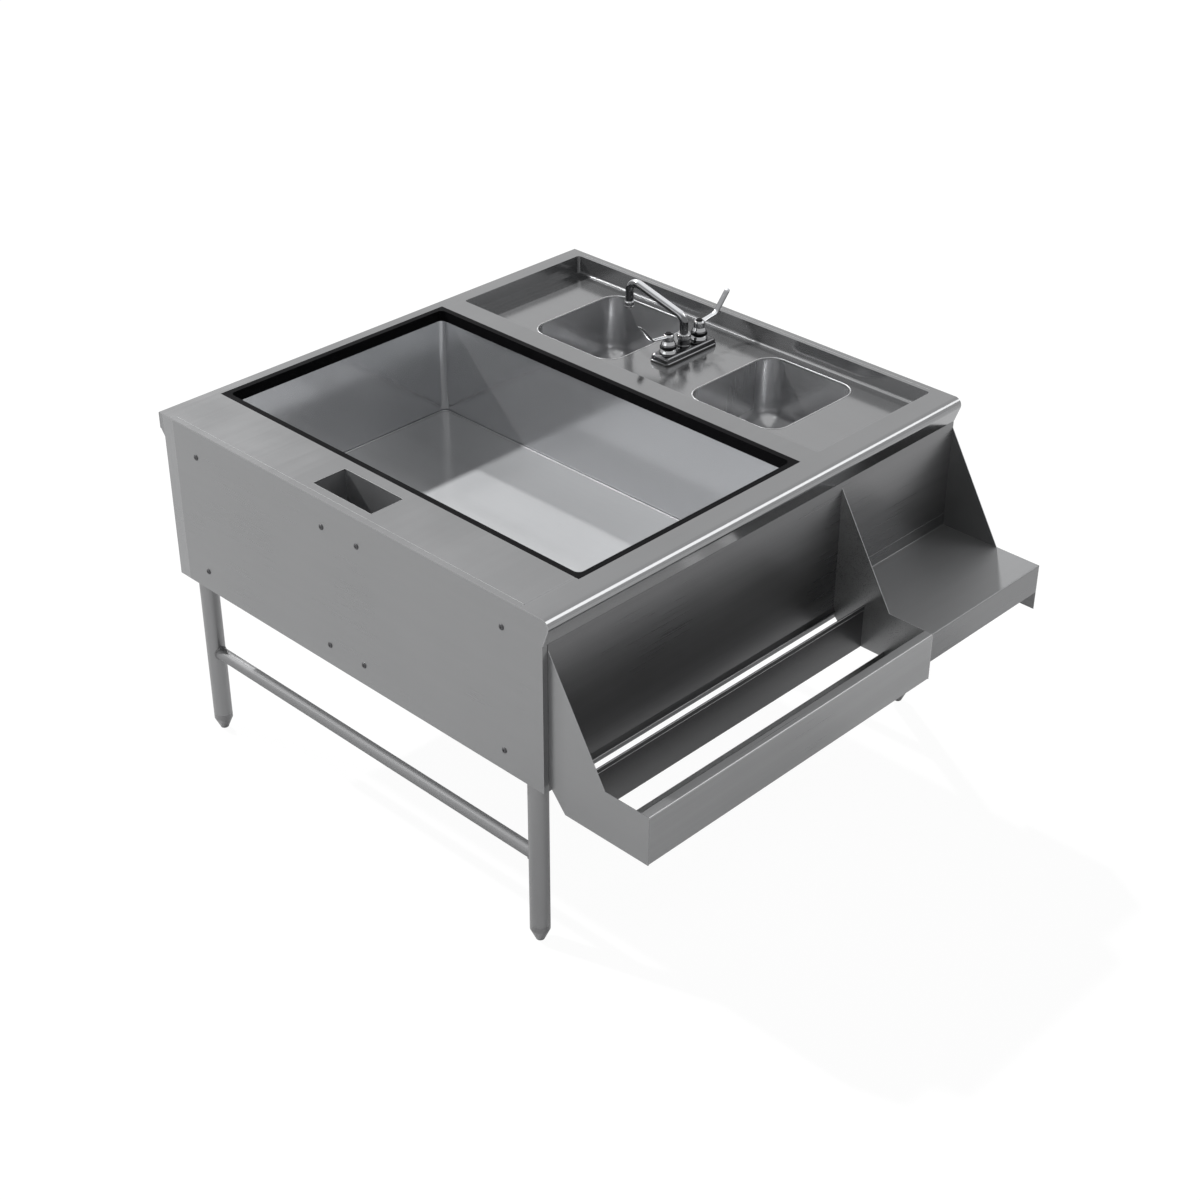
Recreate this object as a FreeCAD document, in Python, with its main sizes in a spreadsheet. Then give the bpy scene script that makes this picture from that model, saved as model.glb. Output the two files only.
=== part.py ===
import FreeCAD, Part

import math
import os
import re

import Sketcher

# Bar sink with ice bin. Millimetres, +Z up. The front, where the bottle rail hangs, faces -Y.
# The origin lies on the floor, under the middle of the whole unit.

doc = FreeCAD.newDocument("bar_sink")
sheet = doc.addObject("Spreadsheet::Sheet", "sizes")
aliases = []


def add_row(alias, content, note):
    """One named row of the sheet: what it is, its content and its alias."""
    row = len(aliases) + 1
    sheet.set("A%d" % row, note)
    sheet.set("B%d" % row, content)
    sheet.setAlias("B%d" % row, alias)
    aliases.append(alias)


DRIVING = [
    # whole unit
    ("body_length", 1219.2, "cabinet, left to right"),
    ("body_depth", 1121, "cabinet, front face to back face"),
    ("deck_height", 784, "floor to deck"),
    ("underside", 399, "floor to lower edge of the cabinet"),
    ("rail_reach", 252, "bottle rail in front of the cabinet"),
    ("rear_overhang", 14, "deck behind the cabinet"),
    ("panel_sheet", 1.5, "sheet of panels, channels and rail"),
    ("deck_sheet", 2, "sheet of the deck"),
    ("seat_gap", 0.3, "gap between pieces that turn or slide on each other"),
    # deck
    ("nose_point", 22.5, "unrounded corner of the nose in front of the cabinet"),
    ("nose_height", 57, "height of the nose"),
    ("nose_radius", 16, "roll of the nose"),
    ("rear_lip", 38, "height of the lip behind"),
    ("rim_radius", 4, "rounding of the deck's rear edge"),
    ("bend_radius", 3, "outer radius of the sheet bends"),
    ("seam_setback", 56, "seam line behind the cabinet front"),
    ("seam_width", 1.6, "width of the seam groove"),
    ("seam_depth", 0.6, "depth of the seam groove"),
    # cabinet
    ("side_flange", 12.7, "front flange of a side panel"),
    ("foot_flange", 10, "lower flange of a side panel"),
    ("back_wrap", 33, "back panel round the sides"),
    ("post_width", 30, "post behind the panel screws"),
    ("post_depth", 18, "post behind the panel screws"),
    ("post_foot", 6, "posts above the underside"),
    ("screw_inset", 105, "outer screw columns from the cabinet ends"),
    ("screw_pair", 105, "between the two inner screw columns"),
    ("screw_top", 64, "upper screws below the deck"),
    ("screw_bottom", 47, "lower screws above the underside"),
    ("screw_shank", 6, "panel screw"),
    ("screw_head", 13, "panel screw head"),
    ("screw_head_height", 2.4, "panel screw head"),
    ("screw_length", 9, "panel screw under its head"),
    ("screw_clearance", 0.4, "hole over screw"),
    # ice bin
    ("bin_left", 140, "bin mouth from the left face"),
    ("bin_front", 48, "bin mouth from the cabinet front"),
    ("bin_back", 12, "bin mouth from the cabinet back"),
    ("bin_well", 254, "depth of the ice bin"),
    ("bin_corner", 16, "upright corners of the liner"),
    ("liner_sheet", 1.2, "liner, chute and bowl sheet"),
    ("foam", 13, "foam insulation"),
    ("shell_sheet", 1, "outer shell of the bin"),
    ("breaker_width", 14, "breaker strip on top"),
    ("breaker_height", 25, "breaker strip, inside leg"),
    ("breaker_sheet", 3, "breaker strip thickness"),
    ("bin_drain_setback", 120, "bin drain from the mouth's front left corner"),
    ("bin_drain_bore", 25, "bore of the bin drain"),
    ("bin_drain_pipe", 33.4, "pipe thread of the bin drain"),
    ("bin_drain_body", 38, "bin drain through the bin's floor"),
    ("bin_drain_flange", 76, "flange of the bin drain"),
    ("bin_drain_length", 95, "bin drain below the liner"),
    ("bin_drain_nut_width", 56, "nut under the bin, over its corners"),
    ("bin_drain_nut_height", 10, "nut under the bin"),
    ("drain_rim", 1.6, "height of a drain flange"),
    ("thread_step", 2, "from a nut to the smaller pipe thread below it"),
    # cap and waste chute
    ("chute_left", 31, "chute from the left face"),
    ("chute_length", 81, "chute, left to right"),
    ("chute_front", 495, "chute from the cabinet front"),
    ("chute_width", 174, "chute, front to back"),
    # drainboard pan
    ("middle_rim", 57, "deck between the bin and the pan"),
    ("right_rim", 23, "deck right of the pan"),
    ("pan_length", 373.2, "pan, left to right"),
    ("pan_front", 50, "pan from the cabinet front"),
    ("pan_back", 26, "pan from the cabinet back"),
    ("pan_drop", 42, "pan floor below the deck"),
    ("pan_sheet", 1.5, "sheet of the pan"),
    ("pan_corner", 7, "inner corners of the pan"),
    ("ledge_width", 20, "step at the back of the pan"),
    ("ledge_drop", 32, "step below the deck"),
    # bowls
    ("bowl_length", 284, "bowl, left to right"),
    ("bowl_width", 254, "bowl, front to back"),
    ("bowl_depth", 165, "bowl below the pan floor"),
    ("bowl_corner", 45, "corners of a bowl"),
    ("bowl_side_gap", 27, "bowls from the right of the pan"),
    ("front_bowl_gap", 165, "front bowl from the front of the pan"),
    ("rear_bowl_gap", 150, "rear bowl from the back of the pan"),
    ("strainer_flange", 76, "bowl strainer"),
    ("strainer_neck", 50, "bowl strainer"),
    ("strainer_bore", 42, "bowl strainer"),
    ("strainer_length", 40, "bowl strainer below the bowl"),
    ("plate_sheet", 2, "plate across a drain"),
    ("plate_sink", 5, "plate below the floor"),
    ("plate_hole", 3.5, "holes in the bin drain's plate"),
    ("plate_pitch", 6.5, "from the middle hole to the ring of holes"),
    ("stopper_knob", 12, "knob of a bowl's stopper"),
    ("stopper_knob_height", 7, "knob above the stopper's plate"),
    ("drain_nut_width", 66, "nut under a bowl, over its rim"),
    ("drain_nut_height", 12, "nut under a bowl"),
    ("tailpiece_pipe", 38.1, "tailpiece tube"),
    ("tailpiece_length", 90, "tailpiece below the strainer"),
    ("tailpiece_flange", 2, "flange of a tailpiece"),
    ("tailpiece_neck", 1, "neck round the tube under that flange"),
    # tap
    ("tap_side_shift", 13, "tap right of the bowls' middle line"),
    ("tap_back_shift", 31, "tap behind the middle between the bowls"),
    ("tap_centres", 101.6, "between the tap's valves"),
    ("tap_base_length", 168, "tap base"),
    ("tap_base_width", 53, "tap base"),
    ("tap_base_height", 16, "tap base"),
    ("tap_base_corner", 8, "tap base"),
    ("tap_base_edge", 3, "top edge of the tap base"),
    ("gasket_sheet", 2, "gasket under the tap"),
    ("bonnet_foot", 40, "valve bonnet at its foot"),
    ("bonnet_neck", 30, "valve bonnet at its neck"),
    ("bonnet_height", 11, "valve bonnet"),
    ("ring_width", 38, "black ring round a valve"),
    ("ring_height", 5, "black ring round a valve"),
    ("stem_width", 16, "valve stem inside the lever"),
    ("stem_height", 16, "valve stem above the ring"),
    ("stem_clearance", 0.05, "running fit of stems and spout"),
    ("hub_width", 33, "lever hub at its foot"),
    ("hub_neck", 25, "lever hub at its top"),
    ("hub_height", 28, "lever hub"),
    ("lever_rise", 20, "lever leaves its hub at this height"),
    ("lever_reach", 98, "lever tip from the valve"),
    ("lever_bend", 55, "lever bend from the valve"),
    ("lever_tip_height", 77, "lever tip above the hub's foot"),
    ("lever_sheet", 5, "lever thickness"),
    ("lever_width", 15, "lever width"),
    ("lever_slope", 6, "lever's rise from hub to bend"),
    ("cap_width", 15, "cap on a lever hub"),
    ("cap_height", 2.5, "cap on a lever hub"),
    ("shank_width", 24, "inlet shank through the pan"),
    ("inlet_pipe", 20.9, "pipe thread at the lower end of a shank"),
    ("shank_bore", 11, "bore of a shank"),
    ("shank_length", 62, "inlet shank under the base"),
    ("shank_nut_width", 38, "nut on a threaded inlet"),
    ("shank_nut_height", 8, "nut on a threaded inlet"),
    ("spout_pipe", 19, "spout tube"),
    ("spout_wall", 1.5, "spout tube"),
    ("spout_reach", 168, "spout outlet from its pivot"),
    ("spout_riser", 85, "spout bend above the pan floor"),
    ("spout_climb", 45, "spout's rise from bend to peak"),
    ("spout_drop", 70, "outlet below the peak"),
    ("spout_low_bend", 20, "lower bend radius"),
    ("spout_high_bend", 28, "upper bend radius"),
    ("spout_socket", 30, "socket of the spout"),
    ("spout_socket_height", 18, "socket of the spout"),
    ("spout_nut_height", 13, "nut that holds the spout"),
    ("aerator_width", 23, "aerator"),
    ("aerator_height", 16, "aerator"),
    # rail
    ("plate_drop", 73, "top of the rail plates below the deck"),
    ("rail_top", 475, "floor to the top of the rail"),
    ("rail_bottom", 367, "floor to the bottom of the rail"),
    ("plate_waist", 109, "level stretch of the plates behind the front lip"),
    ("plate_heel", 42, "bottom of the plates in front of the cabinet"),
    ("plate_ankle", 15, "chamfer of the plates at the cabinet"),
    ("divider_place", 844, "divider from the left face"),
    ("back_plate_drop", 58, "rail back plate below the deck"),
    ("back_plate_bottom", 417, "floor to the rail back plate"),
    ("hem_reach", 7, "hem of the rail back plate"),
    ("hem_height", 12, "hem of the rail back plate"),
    ("rail_wall_place", 79, "rear wall of the rail in front of the cabinet"),
    ("rail_wall_height", 101, "rear wall of the rail"),
    ("wall_hem", 11, "hem of the rear wall"),
    ("lip_hem", 20, "inward hem of the front lip"),
    ("bottle_floor", 114, "floor behind the front lip"),
    ("floor_curb", 14, "curb at the rear of that floor"),
    ("shelf_face", 66, "front face of the shelf"),
    ("shelf_upturn", 28, "upturn at the back of the shelf"),
    ("stud_width", 8, "stud of the rail unit"),
    ("stud_length", 16, "stud of the rail unit"),
    ("stud_nut_width", 15, "nut on a stud"),
    ("stud_nut_height", 6.5, "nut on a stud"),
    ("stud_inset", 90, "first stud from the cabinet ends"),
    ("stud_top", 100, "upper studs below the deck"),
    ("stud_bottom", 40, "lower studs above the back plate's edge"),
    # legs
    ("leg_side_inset", 33, "leg axis from the side"),
    ("leg_end_inset", 50, "leg axis from front and back"),
    ("leg_pipe", 41.3, "leg tube"),
    ("leg_wall", 1.5, "leg tube"),
    ("channel_width", 50, "under-channel"),
    ("channel_height", 40, "under-channel"),
    ("socket_wall", 2.5, "leg socket"),
    ("socket_depth", 60, "leg socket"),
    ("socket_flange", 3, "leg socket"),
    ("set_screw", 8, "set screw of a leg socket"),
    ("set_screw_stand", 4, "set screw outside its socket"),
    ("foot_height", 40, "bullet foot"),
    ("foot_cone", 27, "cone of a foot"),
    ("foot_tip", 18, "tip of a foot"),
    ("foot_stem", 16, "threaded stem of a foot"),
    ("foot_stem_length", 60, "threaded stem of a foot"),
    ("insert_height", 45, "threaded insert of a leg"),
    ("stretcher_pipe", 28, "stretcher tube"),
    ("stretcher_wall", 1.5, "stretcher tube"),
    ("stretcher_height", 206, "floor to the stretcher"),
]

DERIVED = [
    ("lip_y", "-(rail_reach + body_depth + rear_overhang) / 2", "front of the rail"),
    ("front_y", "lip_y + rail_reach", "cabinet front"),
    ("back_y", "front_y + body_depth", "cabinet back"),
    ("rim_y", "back_y + rear_overhang", "rear edge of the deck"),
    ("left_x", "-body_length / 2", "left face"),
    ("right_x", "body_length / 2", "right face"),
    ("deck_under", "deck_height - deck_sheet", "underside of the deck sheet"),
    ("nose_z", "deck_height - nose_height", "lower edge of the nose"),
    ("nose_lean", "(nose_point - deck_sheet) / nose_height", "slope of the nose face"),
    ("bin_length", "body_length - bin_left - middle_rim - pan_length - right_rim", "bin mouth, left to right"),
    ("bin_x", "left_x + bin_left", "bin mouth, left"),
    ("bin_x_end", "bin_x + bin_length", "bin mouth, right"),
    ("bin_y", "front_y + bin_front", "bin mouth, front"),
    ("bin_y_end", "back_y - bin_back", "bin mouth, back"),
    ("liner_inset", "breaker_width - breaker_sheet", "liner face inside the mouth"),
    ("bin_floor_z", "deck_height - bin_well", "bin floor"),
    ("shell_z", "bin_floor_z - liner_sheet - foam - shell_sheet", "underside of the bin"),
    ("chute_x", "left_x + chute_left", "chute, left"),
    ("chute_y", "front_y + chute_front", "chute, front"),
    ("pan_x", "bin_x_end + middle_rim", "pan, left"),
    ("pan_x_end", "right_x - right_rim", "pan, right"),
    ("pan_y", "front_y + pan_front", "pan, front"),
    ("pan_y_end", "back_y - pan_back", "pan, back"),
    ("pan_z", "deck_height - pan_drop", "pan floor"),
    ("bowl_x", "pan_x_end - bowl_side_gap - bowl_length", "bowls, left"),
    ("bowl_mid_x", "bowl_x + bowl_length / 2", "bowls, middle"),
    ("front_bowl_y", "pan_y + front_bowl_gap", "front bowl, front"),
    ("rear_bowl_y", "pan_y_end - rear_bowl_gap - bowl_width", "rear bowl, front"),
    ("bowl_floor_z", "pan_z - bowl_depth", "bowl floor"),
    ("tap_x", "bowl_mid_x + tap_side_shift", "tap, middle"),
    ("tap_y", "(front_bowl_y + bowl_width + rear_bowl_y) / 2 + tap_back_shift", "tap, middle"),
    ("tap_z", "pan_z + gasket_sheet", "underside of the tap base"),
    ("ring_z", "tap_z + tap_base_height + bonnet_height", "black rings"),
    ("hub_z", "ring_z + ring_height + seat_gap", "lever hubs"),
    ("channel_z", "shell_z - channel_height", "underside of the under-channels"),
    ("divider_x", "left_x + divider_place", "divider, left face"),
]

for alias, value, note in DRIVING:
    add_row(alias, "%g" % value, note)
for alias, formula, note in DERIVED:
    add_row(alias, "=" + formula, note)
doc.recompute()


NAME = re.compile(r"[a-z_]+")
pieces = []


def amount(formula):
    """What a formula of the sheet's names comes to."""
    return float(sheet.evalExpression(str(formula)))


def linked(formula):
    """The same formula as another object writes it."""
    return NAME.sub(lambda word: "sizes." + word[0] if word[0] in aliases else word[0], str(formula))


def bind(thing, **formulas):
    """Ties properties of an object to the sheet."""
    for name, formula in formulas.items():
        thing.setExpression(name, linked(formula))


def place(thing, x=0, y=0, z=0, axis="Z"):
    """Ties an object's place to the sheet; axis says where its own Z points."""
    turns = {
        "Z": FreeCAD.Rotation(),
        "X": FreeCAD.Rotation(FreeCAD.Vector(0, 1, 0), 90),
        "-X": FreeCAD.Rotation(FreeCAD.Vector(0, 1, 0), -90),
        "Y": FreeCAD.Rotation(FreeCAD.Vector(1, 0, 0), -90),
        "-Y": FreeCAD.Rotation(FreeCAD.Vector(1, 0, 0), 90),
    }
    thing.Placement = FreeCAD.Placement(FreeCAD.Vector(), turns[axis])
    for letter, formula in zip("xyz", (x, y, z)):
        thing.setExpression("Placement.Base." + letter, linked(formula))
    return thing


def keep(thing, label):
    """Names a finished piece and puts it on the list of pieces to write."""
    thing.Label = label
    pieces.append(thing)
    return thing


def block(x, y, z, length, width, height):
    """A box by its lowest corner and its three sizes."""
    box = doc.addObject("Part::Box", "block")
    bind(box, Length=length, Width=width, Height=height)
    return place(box, x, y, z)


def rod(x, y, z, radius, height, axis="Z"):
    """A cylinder from the middle of its first end."""
    cylinder = doc.addObject("Part::Cylinder", "rod")
    bind(cylinder, Radius=radius, Height=height)
    return place(cylinder, x, y, z, axis)


def cone(x, y, z, foot, top, height, axis="Z"):
    frustum = doc.addObject("Part::Cone", "cone")
    bind(frustum, Radius1=foot, Radius2=top, Height=height)
    return place(frustum, x, y, z, axis)


def hexagon(x, y, z, corner, height, axis="Z"):
    prism = doc.addObject("Part::Prism", "hexagon")
    prism.Polygon = 6
    bind(prism, Circumradius=corner, Height=height)
    return place(prism, x, y, z, axis)


def join(*things):
    fuse = doc.addObject("Part::MultiFuse", "join")
    fuse.Shapes = list(things)
    fuse.Refine = True
    return fuse


def group(*things):
    """Separate solids that are one node."""
    compound = doc.addObject("Part::Compound", "group")
    compound.Links = list(things)
    return compound


def cut(base, *tools):
    result = doc.addObject("Part::Cut", "cut")
    result.Base = base
    result.Tool = tools[0] if len(tools) == 1 else join(*tools)
    result.Refine = True
    return result


def tube(x, y, z, outer, inner, height, axis="Z"):
    return cut(rod(x, y, z, outer, height, axis), rod(x, y, z, inner, height, axis))


def origin_plane(body, role):
    return next(item for item in body.Origin.OriginFeatures if item.Role == role)


def outline(body, role, points):
    """A closed sketch of straight lines whose corners are tied to the sheet.

    A point is (across, up), or (across, up, radius) where the sheet bends round it.
    """
    sketch = body.newObject("Sketcher::SketchObject", "outline")
    sketch.AttachmentSupport = [(origin_plane(body, role), "")]
    sketch.MapMode = "FlatFace"
    spots = [FreeCAD.Vector(amount(point[0]), amount(point[1]), 0) for point in points]
    count = len(spots)
    for i in range(count):
        sketch.addGeometry(Part.LineSegment(spots[i], spots[(i + 1) % count]), False)
    for i in range(count):
        sketch.addConstraint(Sketcher.Constraint("Coincident", i, 2, (i + 1) % count, 1))
    for i, point in enumerate(points):
        for kind, formula, now in zip(("DistanceX", "DistanceY"), point, (spots[i].x, spots[i].y)):
            number = sketch.addConstraint(Sketcher.Constraint(kind, -1, 1, i, 1, now))
            sketch.setExpression("Constraints[%d]" % number, linked(formula))
    return sketch


def edges_where(shape, test):
    """Names of a shape's edges that pass a test."""
    return ["Edge%d" % number for number, edge in enumerate(shape.Edges, 1) if test(edge)]


def edges_at(shape, direction, **spots):
    """Names of the straight edges along a direction that pass through the given coordinates."""
    def test(edge):
        if not isinstance(edge.Curve, Part.Line):
            return False
        start, end = [vertex.Point for vertex in edge.Vertexes]
        return (abs(getattr(end - start, direction)) > 0.999 * edge.Length
                and all(abs(getattr(start, axis) - amount(spot)) < 0.01 for axis, spot in spots.items()))

    return edges_where(shape, test)


def round_off(body, radius, names):
    """Rounds named edges of a body's last feature."""
    last = body.Tip
    fillet = body.newObject("PartDesign::Fillet", "rounding")
    fillet.Base = (last, names)
    bind(fillet, Radius=radius)
    body.Tip = fillet
    doc.recompute()
    return body


def bent_sheet(points, x, length):
    """A sheet seen from the side, drawn out along X; corners with a radius are rounded."""
    body = doc.addObject("PartDesign::Body", "bent_sheet")
    pad = body.newObject("PartDesign::Pad", "run")
    pad.Profile = outline(body, "YZ_Plane", points)
    bind(pad, Length=length)
    place(body, x, 0, 0)
    doc.recompute()
    for y, z, radius in [point for point in points if len(point) == 3]:
        round_off(body, radius, edges_at(body.Tip.Shape, "x", y=y, z=z))
    return body


def turned(x, y, z, points, axis="Z"):
    """A round piece from its half outline of (radius, height) corners."""
    body = doc.addObject("PartDesign::Body", "turned")
    spin = body.newObject("PartDesign::Revolution", "spin")
    sketch = outline(body, "XZ_Plane", points)
    spin.Profile = sketch
    spin.ReferenceAxis = (sketch, ["V_Axis"])
    spin.Angle = 360
    return place(body, x, y, z, axis)


def rounded_block(x, y, z, length, width, height, radius, floor_too=False):
    """A box with rounded upright corners and, if asked, a rounded floor."""
    body = doc.addObject("PartDesign::Body", "rounded_block")
    box = body.newObject("PartDesign::AdditiveBox", "box")
    bind(box, Length=length, Width=width, Height=height)
    place(body, x, y, z)
    doc.recompute()
    names = edges_at(box.Shape, "z")
    if floor_too:
        names += edges_at(box.Shape, "x", z=0) + edges_at(box.Shape, "y", z=0)
    return round_off(body, radius, names)


def basin(x, y, z, length, width, top, radius, wall, floor_too=True):
    """An open box: inner corner, inner sizes, height of its top, inner radius and wall."""
    outer = rounded_block(
        "%s - %s" % (x, wall), "%s - %s" % (y, wall), "%s - %s" % (z, wall),
        "%s + 2 * %s" % (length, wall), "%s + 2 * %s" % (width, wall),
        "%s - (%s) + %s" % (top, z, wall), "%s + %s" % (radius, wall), floor_too)
    inner = rounded_block(x, y, z, length, width, "%s - (%s) + 1" % (top, z), radius, floor_too)
    return cut(outer, inner)


# ---- deck -------------------------------------------------------------------------------------

INSIDE_NOSE = ("front_y - nose_point + deck_sheet * (1 + nose_lean)", "deck_under",
               "nose_radius - deck_sheet")
DECK_SIDE = [
    ("rim_y", "deck_height - rear_lip"),
    ("rim_y", "deck_height", "rim_radius"),
    ("front_y - nose_point", "deck_height", "nose_radius"),
    ("front_y - deck_sheet", "nose_z"),
    ("front_y", "nose_z"),
    INSIDE_NOSE,
    ("rim_y - deck_sheet", "deck_under", "rim_radius - deck_sheet"),
    ("rim_y - deck_sheet", "deck_height - rear_lip"),
]


def make_worktop():
    sheet_metal = bent_sheet(DECK_SIDE, "left_x", "body_length")
    below, through = "deck_under - 1", "deck_sheet + 2"
    bin_mouth = block("bin_x", "bin_y", below, "bin_length", "bin_y_end - bin_y", through)
    chute_mouth = block("chute_x", "chute_y", below, "chute_length", "chute_width", through)
    pan_mouth = rounded_block("pan_x", "pan_y", below, "pan_x_end - pan_x", "pan_y_end - pan_y",
                              through, "pan_corner")
    seam = block("left_x", "front_y + seam_setback", "deck_height - seam_depth",
                 "bin_left", "seam_width", "seam_depth")
    keep(cut(sheet_metal, bin_mouth, chute_mouth, pan_mouth, seam), "worktop")


make_worktop()

# ---- cabinet ----------------------------------------------------------------------------------

SCREW_COLUMNS = [
    "front_y + screw_inset", "(front_y + back_y - screw_pair) / 2",
    "(front_y + back_y + screw_pair) / 2", "back_y - screw_inset",
]
SCREW_ROWS = ["deck_height - screw_top", "underside + screw_bottom"]
SIDE_OUTLINE = [
    ("front_y", "underside"),
    ("front_y", "nose_z"),
    INSIDE_NOSE,
    ("back_y - back_wrap", "deck_under"),
    ("back_y - back_wrap", "underside"),
]


def make_side(side, outer_x, inward):
    """A side panel, its posts and its screws; inward is 1 on the left and -1 on the right."""
    def from_face(depth, reach):
        """Lowest x of something that starts at a depth behind the face and reaches inward."""
        return "%s + %s" % (outer_x, depth) if inward > 0 else "%s - %s - %s" % (outer_x, depth, reach)

    skin = bent_sheet(SIDE_OUTLINE, from_face(0, "panel_sheet"), "panel_sheet")
    front = block(from_face(0, "side_flange"), "front_y", "underside",
                  "side_flange", "panel_sheet", "nose_z - underside")
    foot = block(from_face(0, "foot_flange"), "front_y", "underside",
                 "foot_flange", "body_depth - back_wrap", "panel_sheet")
    holes = [rod(from_face(0, "panel_sheet"), column, row, "(screw_shank + screw_clearance) / 2",
                 "panel_sheet", "X") for column in SCREW_COLUMNS for row in SCREW_ROWS]
    keep(cut(join(skin, front, foot), *holes), side + "_side_panel")

    posts = []
    for column in SCREW_COLUMNS:
        bar = block(from_face("panel_sheet", "post_depth"), column + " - post_width / 2",
                    "underside + post_foot", "post_depth", "post_width", "deck_under - underside - post_foot")
        hollow = block(from_face("2 * panel_sheet", "post_depth"), column + " - post_width / 2 + panel_sheet",
                       "underside + post_foot", "post_depth", "post_width - 2 * panel_sheet",
                       "deck_under - underside - post_foot")
        drills = [rod(from_face("panel_sheet", "panel_sheet"), column, row,
                      "(screw_shank + screw_clearance) / 2", "panel_sheet", "X") for row in SCREW_ROWS]
        posts.append(cut(bar, hollow, *drills))
    keep(group(*posts), side + "_panel_posts")

    outward = "-X" if inward > 0 else "X"
    inside = "X" if inward > 0 else "-X"
    screws = []
    for column in SCREW_COLUMNS:
        for row in SCREW_ROWS:
            head = cone(outer_x, column, row, "screw_head / 2", "screw_head / 2 - screw_head_height",
                        "screw_head_height", outward)
            shank = rod(outer_x, column, row, "screw_shank / 2", "screw_length", inside)
            screws.append(join(head, shank))
    return screws


keep(group(*make_side("left", "left_x", 1), *make_side("right", "right_x", -1)), "panel_screws")

cabinet_height = "deck_under - underside"
back_sheet = block("left_x", "back_y - panel_sheet", "underside", "body_length", "panel_sheet", cabinet_height)
left_wrap = block("left_x", "back_y - back_wrap", "underside", "panel_sheet", "back_wrap", cabinet_height)
right_wrap = block("right_x - panel_sheet", "back_y - back_wrap", "underside",
                   "panel_sheet", "back_wrap", cabinet_height)
keep(join(back_sheet, left_wrap, right_wrap), "back_panel")

STUD_COLUMNS = ["left_x + stud_inset + %d * (body_length - 2 * stud_inset) / 3" % i for i in range(4)]
STUD_ROWS = ["deck_height - stud_top", "back_plate_bottom + stud_bottom"]
stud_spots = [(column, row) for column in STUD_COLUMNS for row in STUD_ROWS]
front_sheet = block("left_x + side_flange", "front_y", "underside",
                    "body_length - 2 * side_flange", "panel_sheet", cabinet_height)
stud_holes = [rod(x, "front_y", z, "(stud_width + screw_clearance) / 2", "panel_sheet", "Y")
              for x, z in stud_spots]
keep(cut(front_sheet, *stud_holes), "front_panel")


def make_channel(label, middle_y):
    """An under-channel, open at the top, whose edges carry the ice bin."""
    run = "body_length - 2 * panel_sheet"
    bar = block("left_x + panel_sheet", middle_y + " - channel_width / 2", "channel_z",
                run, "channel_width", "channel_height")
    hollow = block("left_x + panel_sheet", middle_y + " - channel_width / 2 + panel_sheet",
                   "channel_z + panel_sheet", run, "channel_width - 2 * panel_sheet", "channel_height")
    keep(cut(bar, hollow), label)


make_channel("front_channel", "front_y + leg_end_inset")
make_channel("rear_channel", "back_y - leg_end_inset")

# ---- ice bin ----------------------------------------------------------------------------------


def bin_shell(inset, floor, radius, wall):
    """One of the three nested boxes of the ice bin; inset is its inner face inside the mouth."""
    return basin("bin_x + " + inset, "bin_y + " + inset, floor,
                 "bin_length - 2 * (%s)" % inset, "bin_y_end - bin_y - 2 * (%s)" % inset,
                 "deck_under", radius, wall, floor_too=False)


DRAIN_X, DRAIN_Y = "bin_x + bin_drain_setback", "bin_y + bin_drain_setback"


def drain_hole():
    return rod(DRAIN_X, DRAIN_Y, "shell_z - 1", "bin_drain_body / 2 + seat_gap", "bin_floor_z - shell_z + 2")


keep(cut(bin_shell("liner_inset", "bin_floor_z", "bin_corner", "liner_sheet"), drain_hole()), "bin_liner")
keep(cut(bin_shell("(liner_inset - liner_sheet)", "bin_floor_z - liner_sheet",
                   "(bin_corner + liner_sheet)", "foam"), drain_hole()), "bin_insulation")
keep(cut(bin_shell("(liner_inset - liner_sheet - foam)", "(bin_floor_z - liner_sheet - foam)",
                   "(bin_corner + liner_sheet + foam)", "shell_sheet"), drain_hole()), "bin_outer_shell")

strip_top = block("bin_x", "bin_y", "deck_under", "bin_length", "bin_y_end - bin_y", "deck_sheet")
strip_leg = rounded_block("bin_x + liner_inset", "bin_y + liner_inset", "deck_height - breaker_height",
                          "bin_length - 2 * liner_inset", "bin_y_end - bin_y - 2 * liner_inset",
                          "breaker_height", "bin_corner")
strip_hollow = rounded_block("bin_x + breaker_width", "bin_y + breaker_width", "deck_height - breaker_height",
                             "bin_length - 2 * breaker_width", "bin_y_end - bin_y - 2 * breaker_width",
                             "breaker_height", "bin_corner - breaker_sheet")
keep(cut(join(strip_top, strip_leg), strip_hollow), "bin_breaker_strip")

PLATE_TOP, PLATE_FOOT = "0 - plate_sink", "0 - plate_sink - plate_sheet"


def plate_holes():
    """Cutters for the bin drain's perforated plate: a hole in the middle and six round it."""
    foot = "bin_floor_z - plate_sink - plate_sheet"
    holes = [rod(DRAIN_X, DRAIN_Y, foot, "plate_hole / 2", "plate_sheet")]
    for i in range(6):
        turn = math.radians(60 * i)
        holes.append(rod(DRAIN_X + " + plate_pitch * %.6f" % math.cos(turn),
                         DRAIN_Y + " + plate_pitch * %.6f" % math.sin(turn),
                         foot, "plate_hole / 2", "plate_sheet"))
    return holes


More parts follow.
